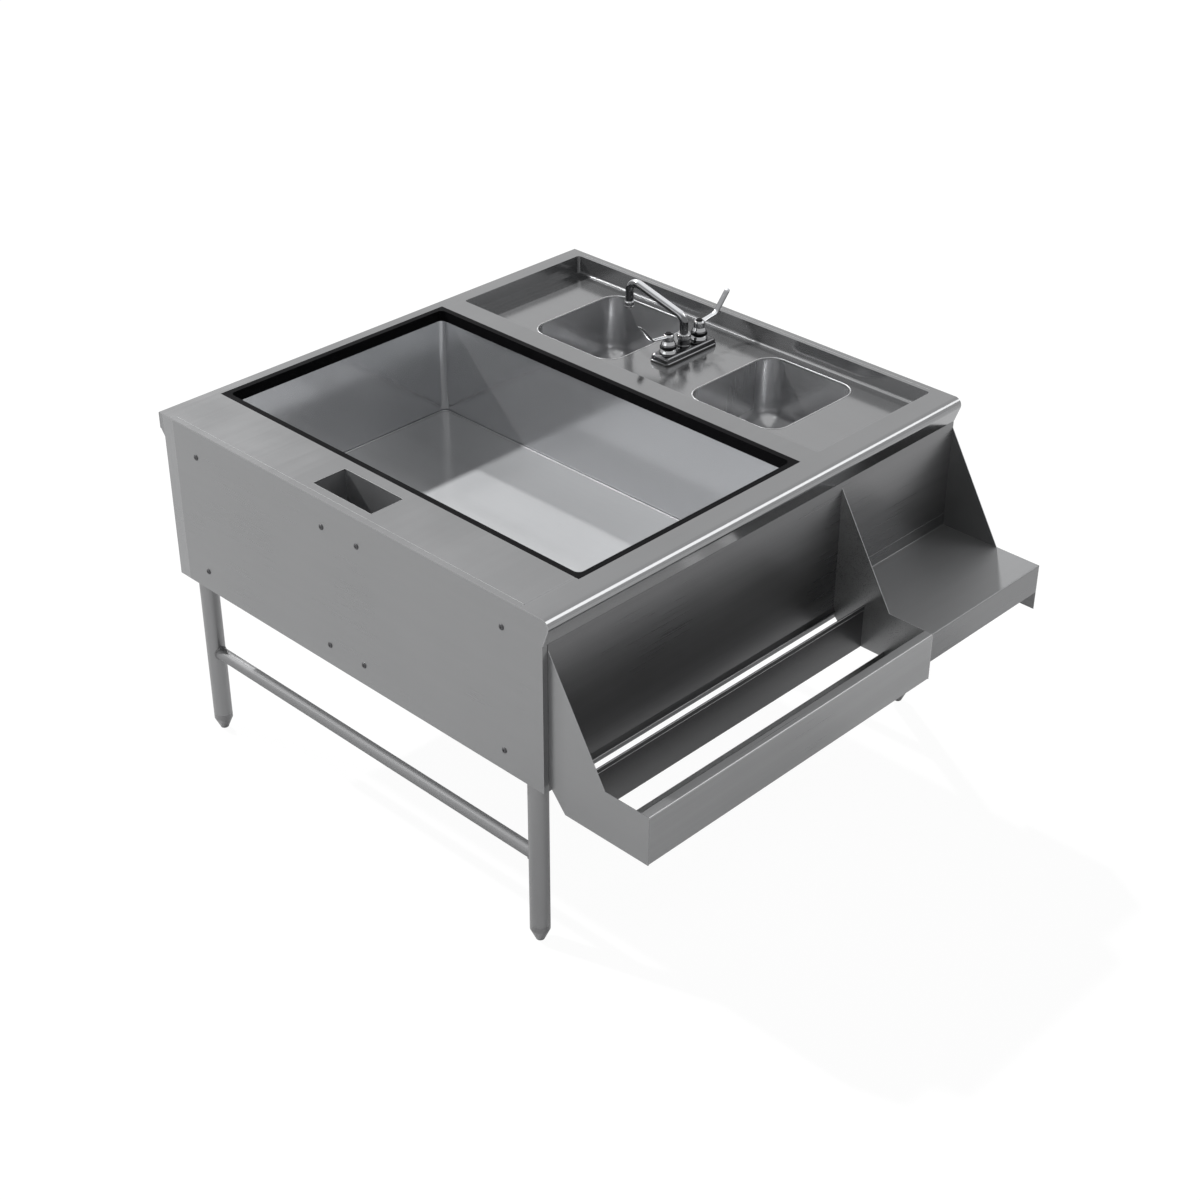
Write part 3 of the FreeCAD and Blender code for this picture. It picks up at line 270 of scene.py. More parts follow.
def rubbed_edges(tree, radius):
    """0 on flat faces, up to 1 on bent and cut edges."""
    rounded = add_node(tree, "Bevel", {"Radius": radius}, samples=BEVEL_SAMPLES).outputs[0]
    flat = add_node(tree, "NewGeometry").outputs["Normal"]
    compared = add_node(tree, "VectorMath", {0: rounded, 1: flat}, operation="DOT_PRODUCT")
    return spread(tree, compared.outputs["Value"], 0.0, 1.0, 1.0, FULLY_RUBBED)


def facing_up(tree):
    """1 where a face looks straight up, 0 where it stands upright."""
    normal = add_node(tree, "TexCoord").outputs["Normal"]
    return add_node(tree, "SeparateXYZ", {0: normal}).outputs["Z"]


def relief(tree, height, strength, depth, under=None):
    """A bumped normal; under is the normal of a coarser relief below it."""
    inputs = {"Height": height, "Strength": strength, "Distance": depth}
    if under is not None:
        inputs["Normal"] = under
    return add_node(tree, "Bump", inputs).outputs[0]


def new_finish(name):
    """A new material, with its node tree and its shader."""
    finish = bpy.data.materials.new(name)
    finish.use_nodes = True
    return finish, finish.node_tree, finish.node_tree.nodes["Principled BSDF"]


print("edges count as fully rubbed at", FULLY_RUBBED)

# %% [markdown]
# ## Brushed stainless sheet
#
# The sheet is ground with a belt before it is bent, which leaves fine parallel
# scratches along one direction, with broader streaks and faint handling marks over
# them. A picture of scratches would repeat and could not follow the part, so the
# grain is noise stretched along one axis. Bent edges are rubbed a little brighter
# and smoother.

# %% Brushed steel
FINE_SCRATCHES, SCRATCHES_ALONG = 620, 3  # per metre, across and along the grain
STREAKS_ACROSS, STREAKS_ALONG = 38, 0.9
HANDLING_MARKS = 3.2  # per metre, both ways
SCRATCH_TONE, STREAK_TONE, MARK_TONE = 0.03, 0.035, 0.025  # swing of the brightness
SCRATCH_DULL, MARK_DULL = 0.1, (0.02, 0.03)  # swing of the roughness: a share; down, up
RUB_REACH, RUB_TONE, RUB_POLISH = 0.0016, 0.35, 0.25  # m, brighter by, smoother by
FLOOR_NORMAL = (0.3, 0.9)  # upward part of the normal where a floor starts and is full
SHEET_WAVES = (0.10, 0.004)  # strength and depth in m of the bumps
SCRATCH_BUMP, SCRATCH_DEPTH = 0.06, 0.0002


def brushed_steel(name, grain, tone, metal=0.80, rough=0.30, fine=FINE_SCRATCHES,
                  contrast=1.0, floor_painted_tone_and_finish=None):
    """Belt-ground stainless, with its scratches along one axis.

    The last argument gives upward faces their own tone, a painted light or shade by
    facing, and their own metal and how much rougher they are.
    """
    finish, tree, steel = new_finish(name)
    scratches = stretched_noise(tree, grain, fine, SCRATCHES_ALONG)
    streaks = stretched_noise(tree, grain, STREAKS_ACROSS, STREAKS_ALONG, detail=2.0)
    marks = stretched_noise(tree, grain, HANDLING_MARKS, HANDLING_MARKS, detail=4.0)
    worn = rubbed_edges(tree, RUB_REACH)
    scratch_tone = vary(tree, scratches, 1, SCRATCH_TONE * contrast)
    streak_tone = vary(tree, streaks, 1, STREAK_TONE * contrast)
    shade = times(tree, scratch_tone, streak_tone)
    shade = times(tree, shade, vary(tree, marks, 1, MARK_TONE))
    shade = times(tree, shade, plus(tree, 1.0, times(tree, worn, RUB_TONE)))
    dull = vary(tree, scratches, rough, SCRATCH_DULL * rough)
    dull = plus(tree, dull, vary(tree, marks, 0, *MARK_DULL))
    dull = plus(tree, dull, times(tree, worn, -RUB_POLISH * rough))
    if floor_painted_tone_and_finish:
        flat = facing_up(tree)
        painted_floor_tone, floor_metal, floor_dull = floor_painted_tone_and_finish
        # Upward faces get their own tone: painted light or shade by facing.
        shade = times(tree, shade, spread(tree, flat, 1, painted_floor_tone, *FLOOR_NORMAL))
        dull = plus(tree, dull, spread(tree, flat, 0, floor_dull, *FLOOR_NORMAL))
        metal = spread(tree, flat, metal, floor_metal, *FLOOR_NORMAL)
    waves = relief(tree, marks, *SHEET_WAVES)
    plug(tree, steel, {
        "Base Color": tinted(tree, tone, shade),
        "Metallic": metal,
        "Roughness": dull,
        "Normal": relief(tree, scratches, SCRATCH_BUMP * contrast, SCRATCH_DEPTH, waves),
    })
    return finish


print("grain", FINE_SCRATCHES, "scratches per metre")

# %% Sheet finishes
deck_sheet = brushed_steel(
    "brushed_deck", "x", (0.248, 0.25, 0.254), metal=0.92, rough=0.115, contrast=0.35)
pan_sheet = brushed_steel(
    "brushed_pan", "y", (0.246, 0.248, 0.252), metal=0.78, rough=0.15, contrast=0.3)
sheet_along_x = brushed_steel(
    "brushed_sheet_across", "x", (0.272, 0.274, 0.278), contrast=0.45)
sheet_along_y = brushed_steel(
    "brushed_sheet_deep", "y", (0.232, 0.234, 0.237), contrast=0.3)
# The rail shelf is a darker copy of the steel, a painted shade, with its top painted a little
# lighter than its front.
painted_shade_shelf = brushed_steel(
    "brushed_shelf_painted_shade", "x", (0.18, 0.182, 0.185), contrast=0.45, floor_painted_tone_and_finish=(1.25, 0.8, 0.2))
# The liner's floor gets a darker tone than its walls, a painted shade by facing, and less metal.
liner_sheet = brushed_steel(
    "brushed_liner", "y", (0.60, 0.608, 0.62), metal=0.8, rough=0.15, contrast=0.25,
    floor_painted_tone_and_finish=(0.68, 0.15, 0.0))
# A darker copy of the steel, a painted shade on the apron and the rail's back plate.
painted_shade_apron = brushed_steel("brushed_apron_painted_shade", "x", (0.17, 0.171, 0.174))
# A darker copy still, a painted shade on the rail's rear wall.
painted_shade_rail_inside = brushed_steel("brushed_rail_inside_painted_shade", "x", (0.11, 0.111, 0.113), rough=0.36)
# A lighter copy of the steel, a painted light on the rail's front lip and divider.
painted_light_lip = brushed_steel("brushed_rail_lip_painted_light", "x", (0.31, 0.312, 0.316), metal=0.7)
bowl_sheet = brushed_steel(
    "drawn_bowl", "z", (0.42, 0.423, 0.43), metal=0.72, rough=0.22, contrast=0.5)
print("sheet finishes", [m.name for m in bpy.data.materials if "brushed" in m.name])

# %% [markdown]
# ## Dressing the frame
#
# A CAD node keeps its mesh and only gets a finish. Each sheet is brushed along its
# longest side, as it comes off the roll. The bowls and the chute are formed from
# flat blanks, and their grain runs up the walls.

# %% Sheet metal nodes


def dress(finish, *names):
    """Gives CAD nodes one finish."""
    for name in names:
        mesh = cad[name].data
        mesh.materials.clear()
        mesh.materials.append(finish)


dress(deck_sheet, "worktop")
dress(sheet_along_x, "back_panel")
# The shelf, apron, rail inside and rail lip take copies of the steel with painted shade or
# painted light.
dress(painted_shade_shelf, "rail_shelf")
dress(painted_shade_apron, "front_panel", "rail_back_plate")
dress(painted_shade_rail_inside, "rail_rear_wall")
dress(painted_light_lip, "rail_front_lip", "rail_divider")
dress(sheet_along_y, "left_side_panel", "right_side_panel")
dress(sheet_along_y, "rail_left_plate", "rail_right_plate")
dress(pan_sheet, "drainboard_pan")
dress(liner_sheet, "bin_liner")
dress(bowl_sheet, "front_sink_bowl", "rear_sink_bowl", "chute_sleeve")
print("sheet nodes dressed")

# %% [markdown]
# ## Galvanised sheet under the deck
#
# What nobody sees from above is zinc-coated: the channels, the posts and the
# bin's outer shell. Zinc crystals show as flat patches of slightly different grey,
# which is what Voronoi cells look like, so the patches come from those.

# %% Zinc
SPANGLE = 90  # crystals per metre
SPANGLE_TONE, SPANGLE_DULL, SPANGLE_BUMP = (0.86, 1.1), (0.4, 0.6), (0.05, 0.0002)
ZINC_MARKS, ZINC_MARK_TONE = 5, 0.08  # per metre, swing of the brightness
ZINC_METAL = 0.5


def galvanised(name, tone):
    """Zinc-coated sheet with its flat crystals."""
    finish, tree, coat = new_finish(name)
    place = add_node(tree, "TexCoord").outputs["Object"]
    cells = add_node(tree, "TexVoronoi", {"Vector": place, "Scale": SPANGLE})
    grey = add_node(tree, "SeparateColor", {0: cells.outputs["Color"]}).outputs[0]
    marks = stretched_noise(tree, "x", ZINC_MARKS, ZINC_MARKS, detail=4.0)
    cell_tone = spread(tree, grey, *SPANGLE_TONE, 0, 1)
    shade = times(tree, cell_tone, vary(tree, marks, 1, ZINC_MARK_TONE))
    plug(tree, coat, {
        "Base Color": tinted(tree, tone, shade),
        "Metallic": ZINC_METAL,
        "Roughness": spread(tree, grey, *SPANGLE_DULL, 0, 1),
        "Normal": relief(tree, grey, *SPANGLE_BUMP),
    })
    return finish


zinc = galvanised("zinc_sheet", (0.30, 0.31, 0.32))
dress(zinc, "left_panel_posts", "right_panel_posts", "bin_outer_shell")
dress(zinc, "front_channel", "rear_channel")
print("zinc crystals", SPANGLE, "per metre")

# %% [markdown]
# ## Tubes, feet, drains and fasteners
#
# The legs and stretchers are ground tube. Hands and cloths run along them, so their
# grain follows their length. The feet, sockets, drains and fasteners are turned and
# carry rings instead: noise squeezed in height lays fine rings one above another
# round an upright part. Beads and seams get the same finish with coarser rings.

# %% Tubes
TUBE_SCRATCHES = 500  # per metre round the tube
tube = brushed_steel(
    "leg_tube", "z", (0.235, 0.236, 0.239), metal=0.7, rough=0.42,
    fine=TUBE_SCRATCHES, contrast=0.6)
tube_deep = brushed_steel(
    "stretcher_tube", "y", (0.185, 0.186, 0.189), metal=0.45, rough=0.62,
    fine=TUBE_SCRATCHES, contrast=0.15)
dress(tube, "front_left_leg", "front_right_leg", "rear_left_leg", "rear_right_leg")
dress(tube_deep, "left_stretcher", "right_stretcher")
print("tubes dressed")

# %% Turned metal
RING_WAVER, RING_TONE = 14, 0.06  # per metre round a ring, swing of the brightness
TURNED_MARKS, TURNED_MARK_TONE, TURNED_DULL = 45.0, 0.07, (0.05, 0.06)
TURNED_RUB_REACH, TURNED_RUB_TONE, TURNED_RUB_POLISH = 0.0008, 0.3, 0.06
TOOL_BUMP = (0.10, 0.0002)  # strength and depth in m of the tool's grooves


def turned_metal(name, tone, metal, rough, rings=900):
    """Metal turned on a lathe with its axis upright; rings is how many to a metre."""
    finish, tree, body = new_finish(name)
    grooves = stretched_noise(tree, "z", RING_WAVER, rings, detail=2.0)
    marks = even_noise(tree, TURNED_MARKS, detail=4.0)
    worn = rubbed_edges(tree, TURNED_RUB_REACH)
    mark_tone = vary(tree, marks, 1, TURNED_MARK_TONE)
    shade = times(tree, vary(tree, grooves, 1, RING_TONE), mark_tone)
    shade = times(tree, shade, plus(tree, 1.0, times(tree, worn, TURNED_RUB_TONE)))
    dull = vary(tree, marks, rough, *TURNED_DULL)
    plug(tree, body, {
        "Base Color": tinted(tree, tone, shade),
        "Metallic": metal,
        "Roughness": plus(tree, dull, times(tree, worn, -TURNED_RUB_POLISH)),
        "Normal": relief(tree, grooves, *TOOL_BUMP),
    })
    return finish


print("turned marks", TURNED_MARKS, "per metre")

# %% Turned parts
SCREW_RINGS, BEAD_RINGS, WELD_RINGS = 1500, 60, 200
foot_steel = turned_metal("turned_foot", (0.20, 0.20, 0.203), 0.5, 0.38)
socket_steel = turned_metal("leg_socket_steel", (0.23, 0.23, 0.235), 0.5, 0.45)
drain_steel = turned_metal("polished_drain", (0.60, 0.60, 0.61), 0.7, 0.22)
brass = turned_metal("turned_brass", (0.62, 0.45, 0.18), 0.85, 0.32)
bolt_steel = turned_metal("bright_fastener", (0.20, 0.20, 0.205), 0.6, 0.33, SCREW_RINGS)
# A nearly black tone, a painted shade that makes the screw heads read as dark dots.
painted_shade_screw_steel = turned_metal("screw_painted_shade", (0.06, 0.06, 0.063), 0.6, 0.42, SCREW_RINGS)
bead_steel = turned_metal("ground_bead", (0.40, 0.403, 0.41), 0.5, 0.45, BEAD_RINGS)
rim_steel = turned_metal("rolled_rim", (0.33, 0.332, 0.337), 0.5, 0.42, BEAD_RINGS)
seam_steel = turned_metal("ground_seam", (0.25, 0.252, 0.256), 0.15, 0.7, BEAD_RINGS)
weld_steel = turned_metal("brushed_weld", (0.16, 0.16, 0.163), 0.6, 0.4, WELD_RINGS)
dress(foot_steel, "front_left_foot", "front_right_foot", "rear_left_foot", "rear_right_foot")
dress(socket_steel, "leg_sockets", "leg_inserts")
dress(drain_steel, "bin_drain", "sink_tailpieces")
dress(bolt_steel, "rail_fasteners", "set_screws")
dress(brass, "bin_drain_nut", "sink_drain_nuts", "tap_shanks", "shank_nuts")
print("turned parts dressed")

# %% [markdown]
# ## Chrome
#
# The tap is cast brass, polished and plated. Plating is a mirror with very faint
# waves from the polishing wheel and dull spots where water has dried, so the
# roughness carries small soft dots and the bump is almost nothing. The spout and
# the lever blades get a darker copy of the plating, a painted shade, with their
# upper side painted brighter, a painted highlight. The base gets a darker copy
# still, also a painted shade.

# %% Chrome
WATER_SPOTS, CLOUDS = 260.0, 60.0  # per metre
SPOT_EDGE, SPOTTED_PATCHES = (0.10, 0.22), (0.5, 0.62)  # where spots and patches end
SPOT_DULL, SPOT_TONE = 0.16, 0.12  # rougher by, darker by
CLOUD_DULL = (0.02, 0.03)  # swing of the roughness, down and up
# Where the painted highlight on the upper side starts and is full.
PAINTED_HIGHLIGHT_FACING = (0.6, 0.88)  # upward part of the normal where the upper side starts
POLISH_WAVES = (0.05, 0.0006)  # strength and depth in m


def plated_chrome(name, tone, rough, painted_top_highlight=1.0):
    """Polished plating with dried water spots and a painted highlight on its upper side."""
    finish, tree, plating = new_finish(name)
    place = add_node(tree, "TexCoord").outputs["Object"]
    cells = add_node(tree, "TexVoronoi", {"Vector": place, "Scale": WATER_SPOTS})
    clouds = even_noise(tree, CLOUDS, detail=3.0)
    spots = spread(tree, cells.outputs["Distance"], 1.0, 0.0, *SPOT_EDGE)
    dried = times(tree, spots, spread(tree, clouds, 0.0, 1.0, *SPOTTED_PATCHES))
    dull = vary(tree, clouds, rough, *CLOUD_DULL)
    # Painted highlight: the upper side is brightened by facing.
    painted_upper_side = spread(tree, facing_up(tree), 1, painted_top_highlight, *PAINTED_HIGHLIGHT_FACING)
    shade = times(tree, painted_upper_side, plus(tree, 1.0, times(tree, dried, -SPOT_TONE)))
    plug(tree, plating, {
        "Base Color": tinted(tree, tone, shade),
        "Metallic": 1.0,
        "Roughness": plus(tree, dull, times(tree, dried, SPOT_DULL)),
        "Normal": relief(tree, clouds, *POLISH_WAVES),
    })
    return finish


chrome = plated_chrome("chrome_plating", (0.34, 0.343, 0.35), 0.08)
# A darker copy of the plating, a painted shade, with a strong painted highlight on its upper
# side.
painted_light_and_shade_spout_chrome = plated_chrome("spout_plating_painted_light_and_shade", (0.13, 0.132, 0.136), 0.10, painted_top_highlight=5.5)
# A still darker copy of the plating, a painted shade on the tap's base.
painted_shade_base_chrome = plated_chrome("base_plating_painted_shade", (0.10, 0.101, 0.104), 0.10)
print("chrome with", WATER_SPOTS, "water spots per metre")

# %% [markdown]
# ## Plastic, rubber and foam
#
# The strip round the bin's mouth and the rings under the levers are black moulded
# plastic with a fine spark-eroded texture. The gasket is rubber, and the foam
# between liner and shell is poured, so it has open cells. One recipe makes them
# all: fine noise for the grain or the cells, and coarse noise for dust and wear.

# %% Soft and moulded materials
GRAIN_TONE, GRAIN_BUMP = 0.14, 0.3
DUST, DUST_TONE, DUST_DULL = 9.0, 0.12, (0.06, 0.08)  # per metre, swings of both
MOULDED_RUB_REACH = 0.001
PLASTIC_PORES, PLASTIC_DEPTH = 1400, 0.0002  # per metre, m
PLASTIC_TONE = (0.004, 0.004, 0.0045)


def moulded(name, tone, rough, pores, depth, gloss=0.3, wear=0.6):
    """A moulded or poured material with its surface texture."""
    finish, tree, body = new_finish(name)
    grain = even_noise(tree, pores, detail=3.0)
    dust = even_noise(tree, DUST, detail=5.0)
    worn = rubbed_edges(tree, MOULDED_RUB_REACH)
    shade = times(tree, vary(tree, grain, 1, GRAIN_TONE), vary(tree, dust, 1, DUST_TONE))
    shade = times(tree, shade, plus(tree, 1.0, times(tree, worn, wear)))
    plug(tree, body, {
        "Base Color": tinted(tree, tone, shade),
        "Roughness": vary(tree, dust, rough, *DUST_DULL),
        "Specular IOR Level": gloss,
        "Normal": relief(tree, grain, GRAIN_BUMP, depth),
    })
    return finish


black_plastic = moulded(
    "black_plastic", PLASTIC_TONE, 0.6, PLASTIC_PORES, PLASTIC_DEPTH, gloss=0.06, wear=0.3)
strip_plastic = moulded(
    "strip_plastic", PLASTIC_TONE, 0.65, PLASTIC_PORES, PLASTIC_DEPTH, gloss=0.02, wear=0.3)
rubber = moulded("gasket_rubber", (0.02, 0.02, 0.02), 0.7, 900, 0.0002)
foam = moulded("poured_foam", (0.72, 0.62, 0.36), 0.85, 420, 0.001)
dress(strip_plastic, "bin_breaker_strip")
dress(rubber, "tap_gasket")
dress(foam, "bin_insulation")
print("plastic, rubber and foam dressed")

# %% [markdown]
# ## Building blocks for the small pieces
#
# Most small parts of a sink are turned, cast in levels, bent from tube or run as a
# bead. A lathe piece could be a Screw modifier and a tube a bevelled curve. Plain
# rings of points are used here, because the same skin then serves lathe work, tube
# and loft, and a radius may change round the ring, which gives flutes and a cross
# recess. All sizes are in millimetres until they meet MM.

# %% Skin and lathe
MM = 0.001
FULL_TURN = 2 * math.pi
ON_AXIS = 1e-6  # a ring smaller than this is a single point


def skin(shape, rings, closed=False, finish=0):
    """Joins rings of corners with faces; a ring of one corner is a pole."""
    pairs = list(zip(rings, rings[1:])) + ([(rings[-1], rings[0])] if closed else [])
    for low, high in pairs:
        for i in range(max(len(low), len(high))):
            j = i + 1
            corners = [low[i % len(low)], low[j % len(low)]]
            corners += [high[j % len(high)], high[i % len(high)]]
            corners = list(dict.fromkeys(corners))
            if len(corners) > 2:
                shape.faces.new(corners).material_index = finish


def at(x, y, z, turn=0):
    """A place in millimetres as a matrix, turned about the object's depth axis."""
    return Matrix.Translation(Vector((x, y, z)) * MM) @ Matrix.Rotation(turn, 4, "Y")


def add_turned(shape, profile, place, steps=64, closed=False, finish=0):
    """Turns a profile of (radius, height) round the upright axis of a place."""
    rings = []
    for radius, height in profile:
        if not callable(radius) and radius < ON_AXIS:
            rings.append([shape.verts.new(place @ (Vector((0, 0, height)) * MM))])
            continue
        ring = []
        for i in range(steps):
            angle = FULL_TURN * i / steps
            reach = radius(angle) if callable(radius) else radius
            spot = Vector((reach * math.cos(angle), reach * math.sin(angle), height))
            ring.append(shape.verts.new(place @ (spot * MM)))
        rings.append(ring)
    skin(shape, rings, closed, finish)


print("lathe ready, one unit is", MM, "m")

# %% Rounded outlines
CORNER_STEPS = 7
ARC_ROOM = 2.05  # an arc takes at most the shorter side divided by this


def rounded_line(points, radii, steps):
    """Rounds the inner corners of a line with arcs; radii is one number or one per corner."""
    points = [Vector(point) for point in points]
    radii = radii if isinstance(radii, (list, tuple)) else [radii] * len(points)
    line = [points[0]]
    for before, corner, after, radius in zip(points, points[1:], points[2:], radii):
        back, onward = before - corner, after - corner
        half = back.angle(onward) / 2
        reach = min(radius / math.tan(half), min(back.length, onward.length) / ARC_ROOM)
        back, onward = back.normalized(), onward.normalized()
        middle = corner + (back + onward).normalized() * (reach / math.cos(half))
        first = corner + back * reach - middle
        last = corner + onward * reach - middle
        turn = math.pi - 2 * half
        for i in range(steps + 1):
            part = i / steps
            bow = first * math.sin((1 - part) * turn) + last * math.sin(part * turn)
            line.append(middle + bow / math.sin(turn))
    line.append(points[-1])
    return line


def rounded_rectangle(length, width, corner):
    """Outline points round a middle at 0, 0."""
    points = []
    for k, (sign_x, sign_y) in enumerate([(1, 1), (-1, 1), (-1, -1), (1, -1)]):
        for i in range(CORNER_STEPS + 1):
            angle = math.pi / 2 * (k + i / CORNER_STEPS)
            x = sign_x * (length / 2 - corner) + corner * math.cos(angle)
            y = sign_y * (width / 2 - corner) + corner * math.sin(angle)
            points.append((x, y))
    return points


print("a rounded corner has", CORNER_STEPS, "steps")

# %% Placing a piece
SHARP_EDGE = math.radians(32)  # steeper edges stay sharp when a piece is smoothed


def place_piece(name, shape, finishes, body, nodes=()):
    """Makes an object of a shape, lets it ride on a body and takes the place of CAD nodes."""
    bmesh.ops.recalc_face_normals(shape, faces=shape.faces)
    mesh = bpy.data.meshes.new(name)
    shape.to_mesh(mesh)
    shape.free()
    for finish in finishes:
        mesh.materials.append(finish)
    mesh.shade_smooth()
    mesh.set_sharp_from_angle(angle=SHARP_EDGE)
    piece = bpy.data.objects.new(name, mesh)
    scene.collection.objects.link(piece)
    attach(piece, body)
    if nodes:
        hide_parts(*nodes)
    print(name, len(mesh.polygons), "faces, rides on", body)


# %% [markdown]
# ## The tap's base
#
# The base is a low casting that covers both valve shanks: a plinth with a small
# step at its foot, drawn in and crowned at the top, and a collar for the spout. A
# cube with a bevel would have the same edge everywhere. Here one rounded outline is
# repeated at several heights, each drawn in a little more, so that the crown
# catches a thin line of light, as cast and buffed metal does.

# %% Tap base
TAP_X, TAP_Y, BASE_Z = 430.6, 169.5, 744.0
BASE_LENGTH, BASE_WIDTH, BASE_CORNER = 168, 53, 8
CORNER_LOSS, LEAST_CORNER = 0.45, 2  # a corner shrinks as the outline is drawn in
BASE_LEVELS = [  # height, drawn in
    (0, 0), (2.6, 0), (3.6, 1.1), (11, 1.8), (13.6, 3.0), (15.1, 5.2), (15.8, 8.5), (16, 13)]
COLLAR = [  # radius, height
    (9.6, 15.5), (14.2, 15.5), (15, 16.4), (15, 18.6), (13.9, 19.8), (13.4, 21.5),
    (13.4, 29.5), (14.2, 31), (14.9, 32.2), (14.9, 34), (9.6, 34)]
BASE_TOP, COLLAR_TOP = BASE_Z + 16, BASE_Z + 34

base = bmesh.new()
levels = []
for height, drawn in BASE_LEVELS:
    corner = max(BASE_CORNER - CORNER_LOSS * drawn, LEAST_CORNER)
    edge = rounded_rectangle(BASE_LENGTH - 2 * drawn, BASE_WIDTH - 2 * drawn, corner)
    spots = [Vector((TAP_X + x, TAP_Y + y, BASE_Z + height)) for x, y in edge]
    levels.append([base.verts.new(spot * MM) for spot in spots])
skin(base, levels)
base.faces.new(levels[0])
base.faces.new(levels[-1])
collar = rounded_line(COLLAR, radii=0.7, steps=3)
add_turned(base, collar, at(TAP_X, TAP_Y, BASE_Z), closed=True)
# The base takes the darkest copy of the plating, a painted shade.
place_piece("tap_base_casting", base, [painted_shade_base_chrome], "cabinet", ["tap_base"])

# %% [markdown]
# ## Valves and levers
#
# Each valve stands on a domed bonnet, then a black ring, then the lever's hub with
# its cap. The blade leaves the hub nearly level and turns up steeply at a bend, so
# that wet fingers find it. The blade is a loft: one flat rounded section is carried
# along the bent middle line, and it narrows before the bend and at the tip.

# %% Valve bonnets and rings
VALVE_OFFSET = 50.8
VALVES = {"hot": TAP_X - VALVE_OFFSET, "cold": TAP_X + VALVE_OFFSET}
RING_Z = BASE_TOP + 11
BONNET = [  # radius, height
    (0, 0), (19.4, 0), (20, 0.8), (20, 2.7), (19.2, 4.6), (17.4, 7.8), (15.6, 10.1),
    (15, 11), (8, 11), (8, 32), (0, 32)]
RING = [
    (8, 0), (18.0, 0), (19, 0.9), (19, 1.9), (18.3, 2.5), (19, 3.1), (19, 4.1), (18.0, 5),
    (8, 5)]
for side_name, valve_x in VALVES.items():
    bonnet = bmesh.new()
    profile = rounded_line(BONNET, radii=1.2, steps=3)
    add_turned(bonnet, profile, at(valve_x, TAP_Y, BASE_TOP))
    replaced = [side_name + "_bonnet"]
    place_piece(side_name + "_valve_bonnet", bonnet, [chrome], "cabinet", replaced)
rings = bmesh.new()
for valve_x in VALVES.values():
    profile = rounded_line(RING, radii=0.5, steps=2)
    add_turned(rings, profile, at(valve_x, TAP_Y, RING_Z), closed=True)
replaced = ["valve_rings"]
place_piece("black_valve_rings", rings, [black_plastic], "cabinet", replaced)

# %% Lever blade
HUB_Z = 776.3
BLADE_LINE = [(9, 22.6), (53.8, 28.5), (95.0, 75.2)]  # out from the valve, up from the hub's foot
BLADE_BEND, BLADE_BEND_STEPS = 14, 10
BLADE_WIDE, BLADE_THICK = 15, 5
BLADE_PARTS, EVEN_PARTS, BLADE_SIDES = 40, 38, 28  # steps along it, those before the tip, round
TIP_STATIONS = (2.2, 1.0, 0.3, 0)  # the last sections, measured back from the tip
TIP_LENGTH, TIP_WIDE, TIP_THICK = 5.0, 0.25, 0.2  # the rounded end, and what is left there
WAIST_DEPTH, WAIST_PLACE, WAIST_REACH = 0.16, 0.25, 0.2  # shares of width and length
THINNING = 0.35  # how much thinner the blade is at its tip
WIDE_POWER, THICK_POWER = 0.6, 0.9  # below 1, the section fills out towards a rectangle
ROUNDING = 1e-9


def bulged(value, power):
    """A power that keeps its sign."""
    return math.copysign(abs(value) ** power, value)


def add_blade(shape, valve_x, outward):
    """A lever's blade, from its hub to its upturned tip."""
    middle_line = [(out, 0, up) for out, up in BLADE_LINE]
    line = rounded_line(middle_line, BLADE_BEND, BLADE_BEND_STEPS)
    run = [0.0]
    for one, two in zip(line, line[1:]):
        run.append(run[-1] + (two - one).length)
    length = run[-1]
    stations = [length * k / BLADE_PARTS for k in range(EVEN_PARTS)]
    stations += [length - back for back in TIP_STATIONS]
    sections = []
    for station in stations:
        k = max(i for i in range(len(run) - 1) if run[i] <= station + ROUNDING)
        along = (line[k + 1] - line[k]).normalized()
        middle = line[k] + along * (station - run[k])
        up_side = Vector((-along.z, 0, along.x))
        share, left = station / length, length - station
        end = math.sqrt(max(0.0, 1 - max(0.0, 1 - left / TIP_LENGTH) ** 2))
        waist = 1 - WAIST_DEPTH * math.exp(-((share - WAIST_PLACE) / WAIST_REACH) ** 2)
        wide = BLADE_WIDE / 2 * waist * (TIP_WIDE + (1 - TIP_WIDE) * end)
        thick = BLADE_THICK / 2 * (1 - THINNING * share) * (TIP_THICK + (1 - TIP_THICK) * end)
        section = []
        for i in range(BLADE_SIDES):
            angle = FULL_TURN * i / BLADE_SIDES
            across = wide * bulged(math.cos(angle), WIDE_POWER)
            over = thick * bulged(math.sin(angle), THICK_POWER)
            spot = middle + Vector((0, across, 0)) + up_side * over
            spot = Vector((valve_x + outward * spot.x, TAP_Y + spot.y, HUB_Z + spot.z))
            section.append(shape.verts.new(spot * MM))
        sections.append(section)
    skin(shape, sections, finish=1)
    for end in (sections[0], sections[-1]):
        shape.faces.new(end).material_index = 1


print("blade of", BLADE_PARTS, "parts")

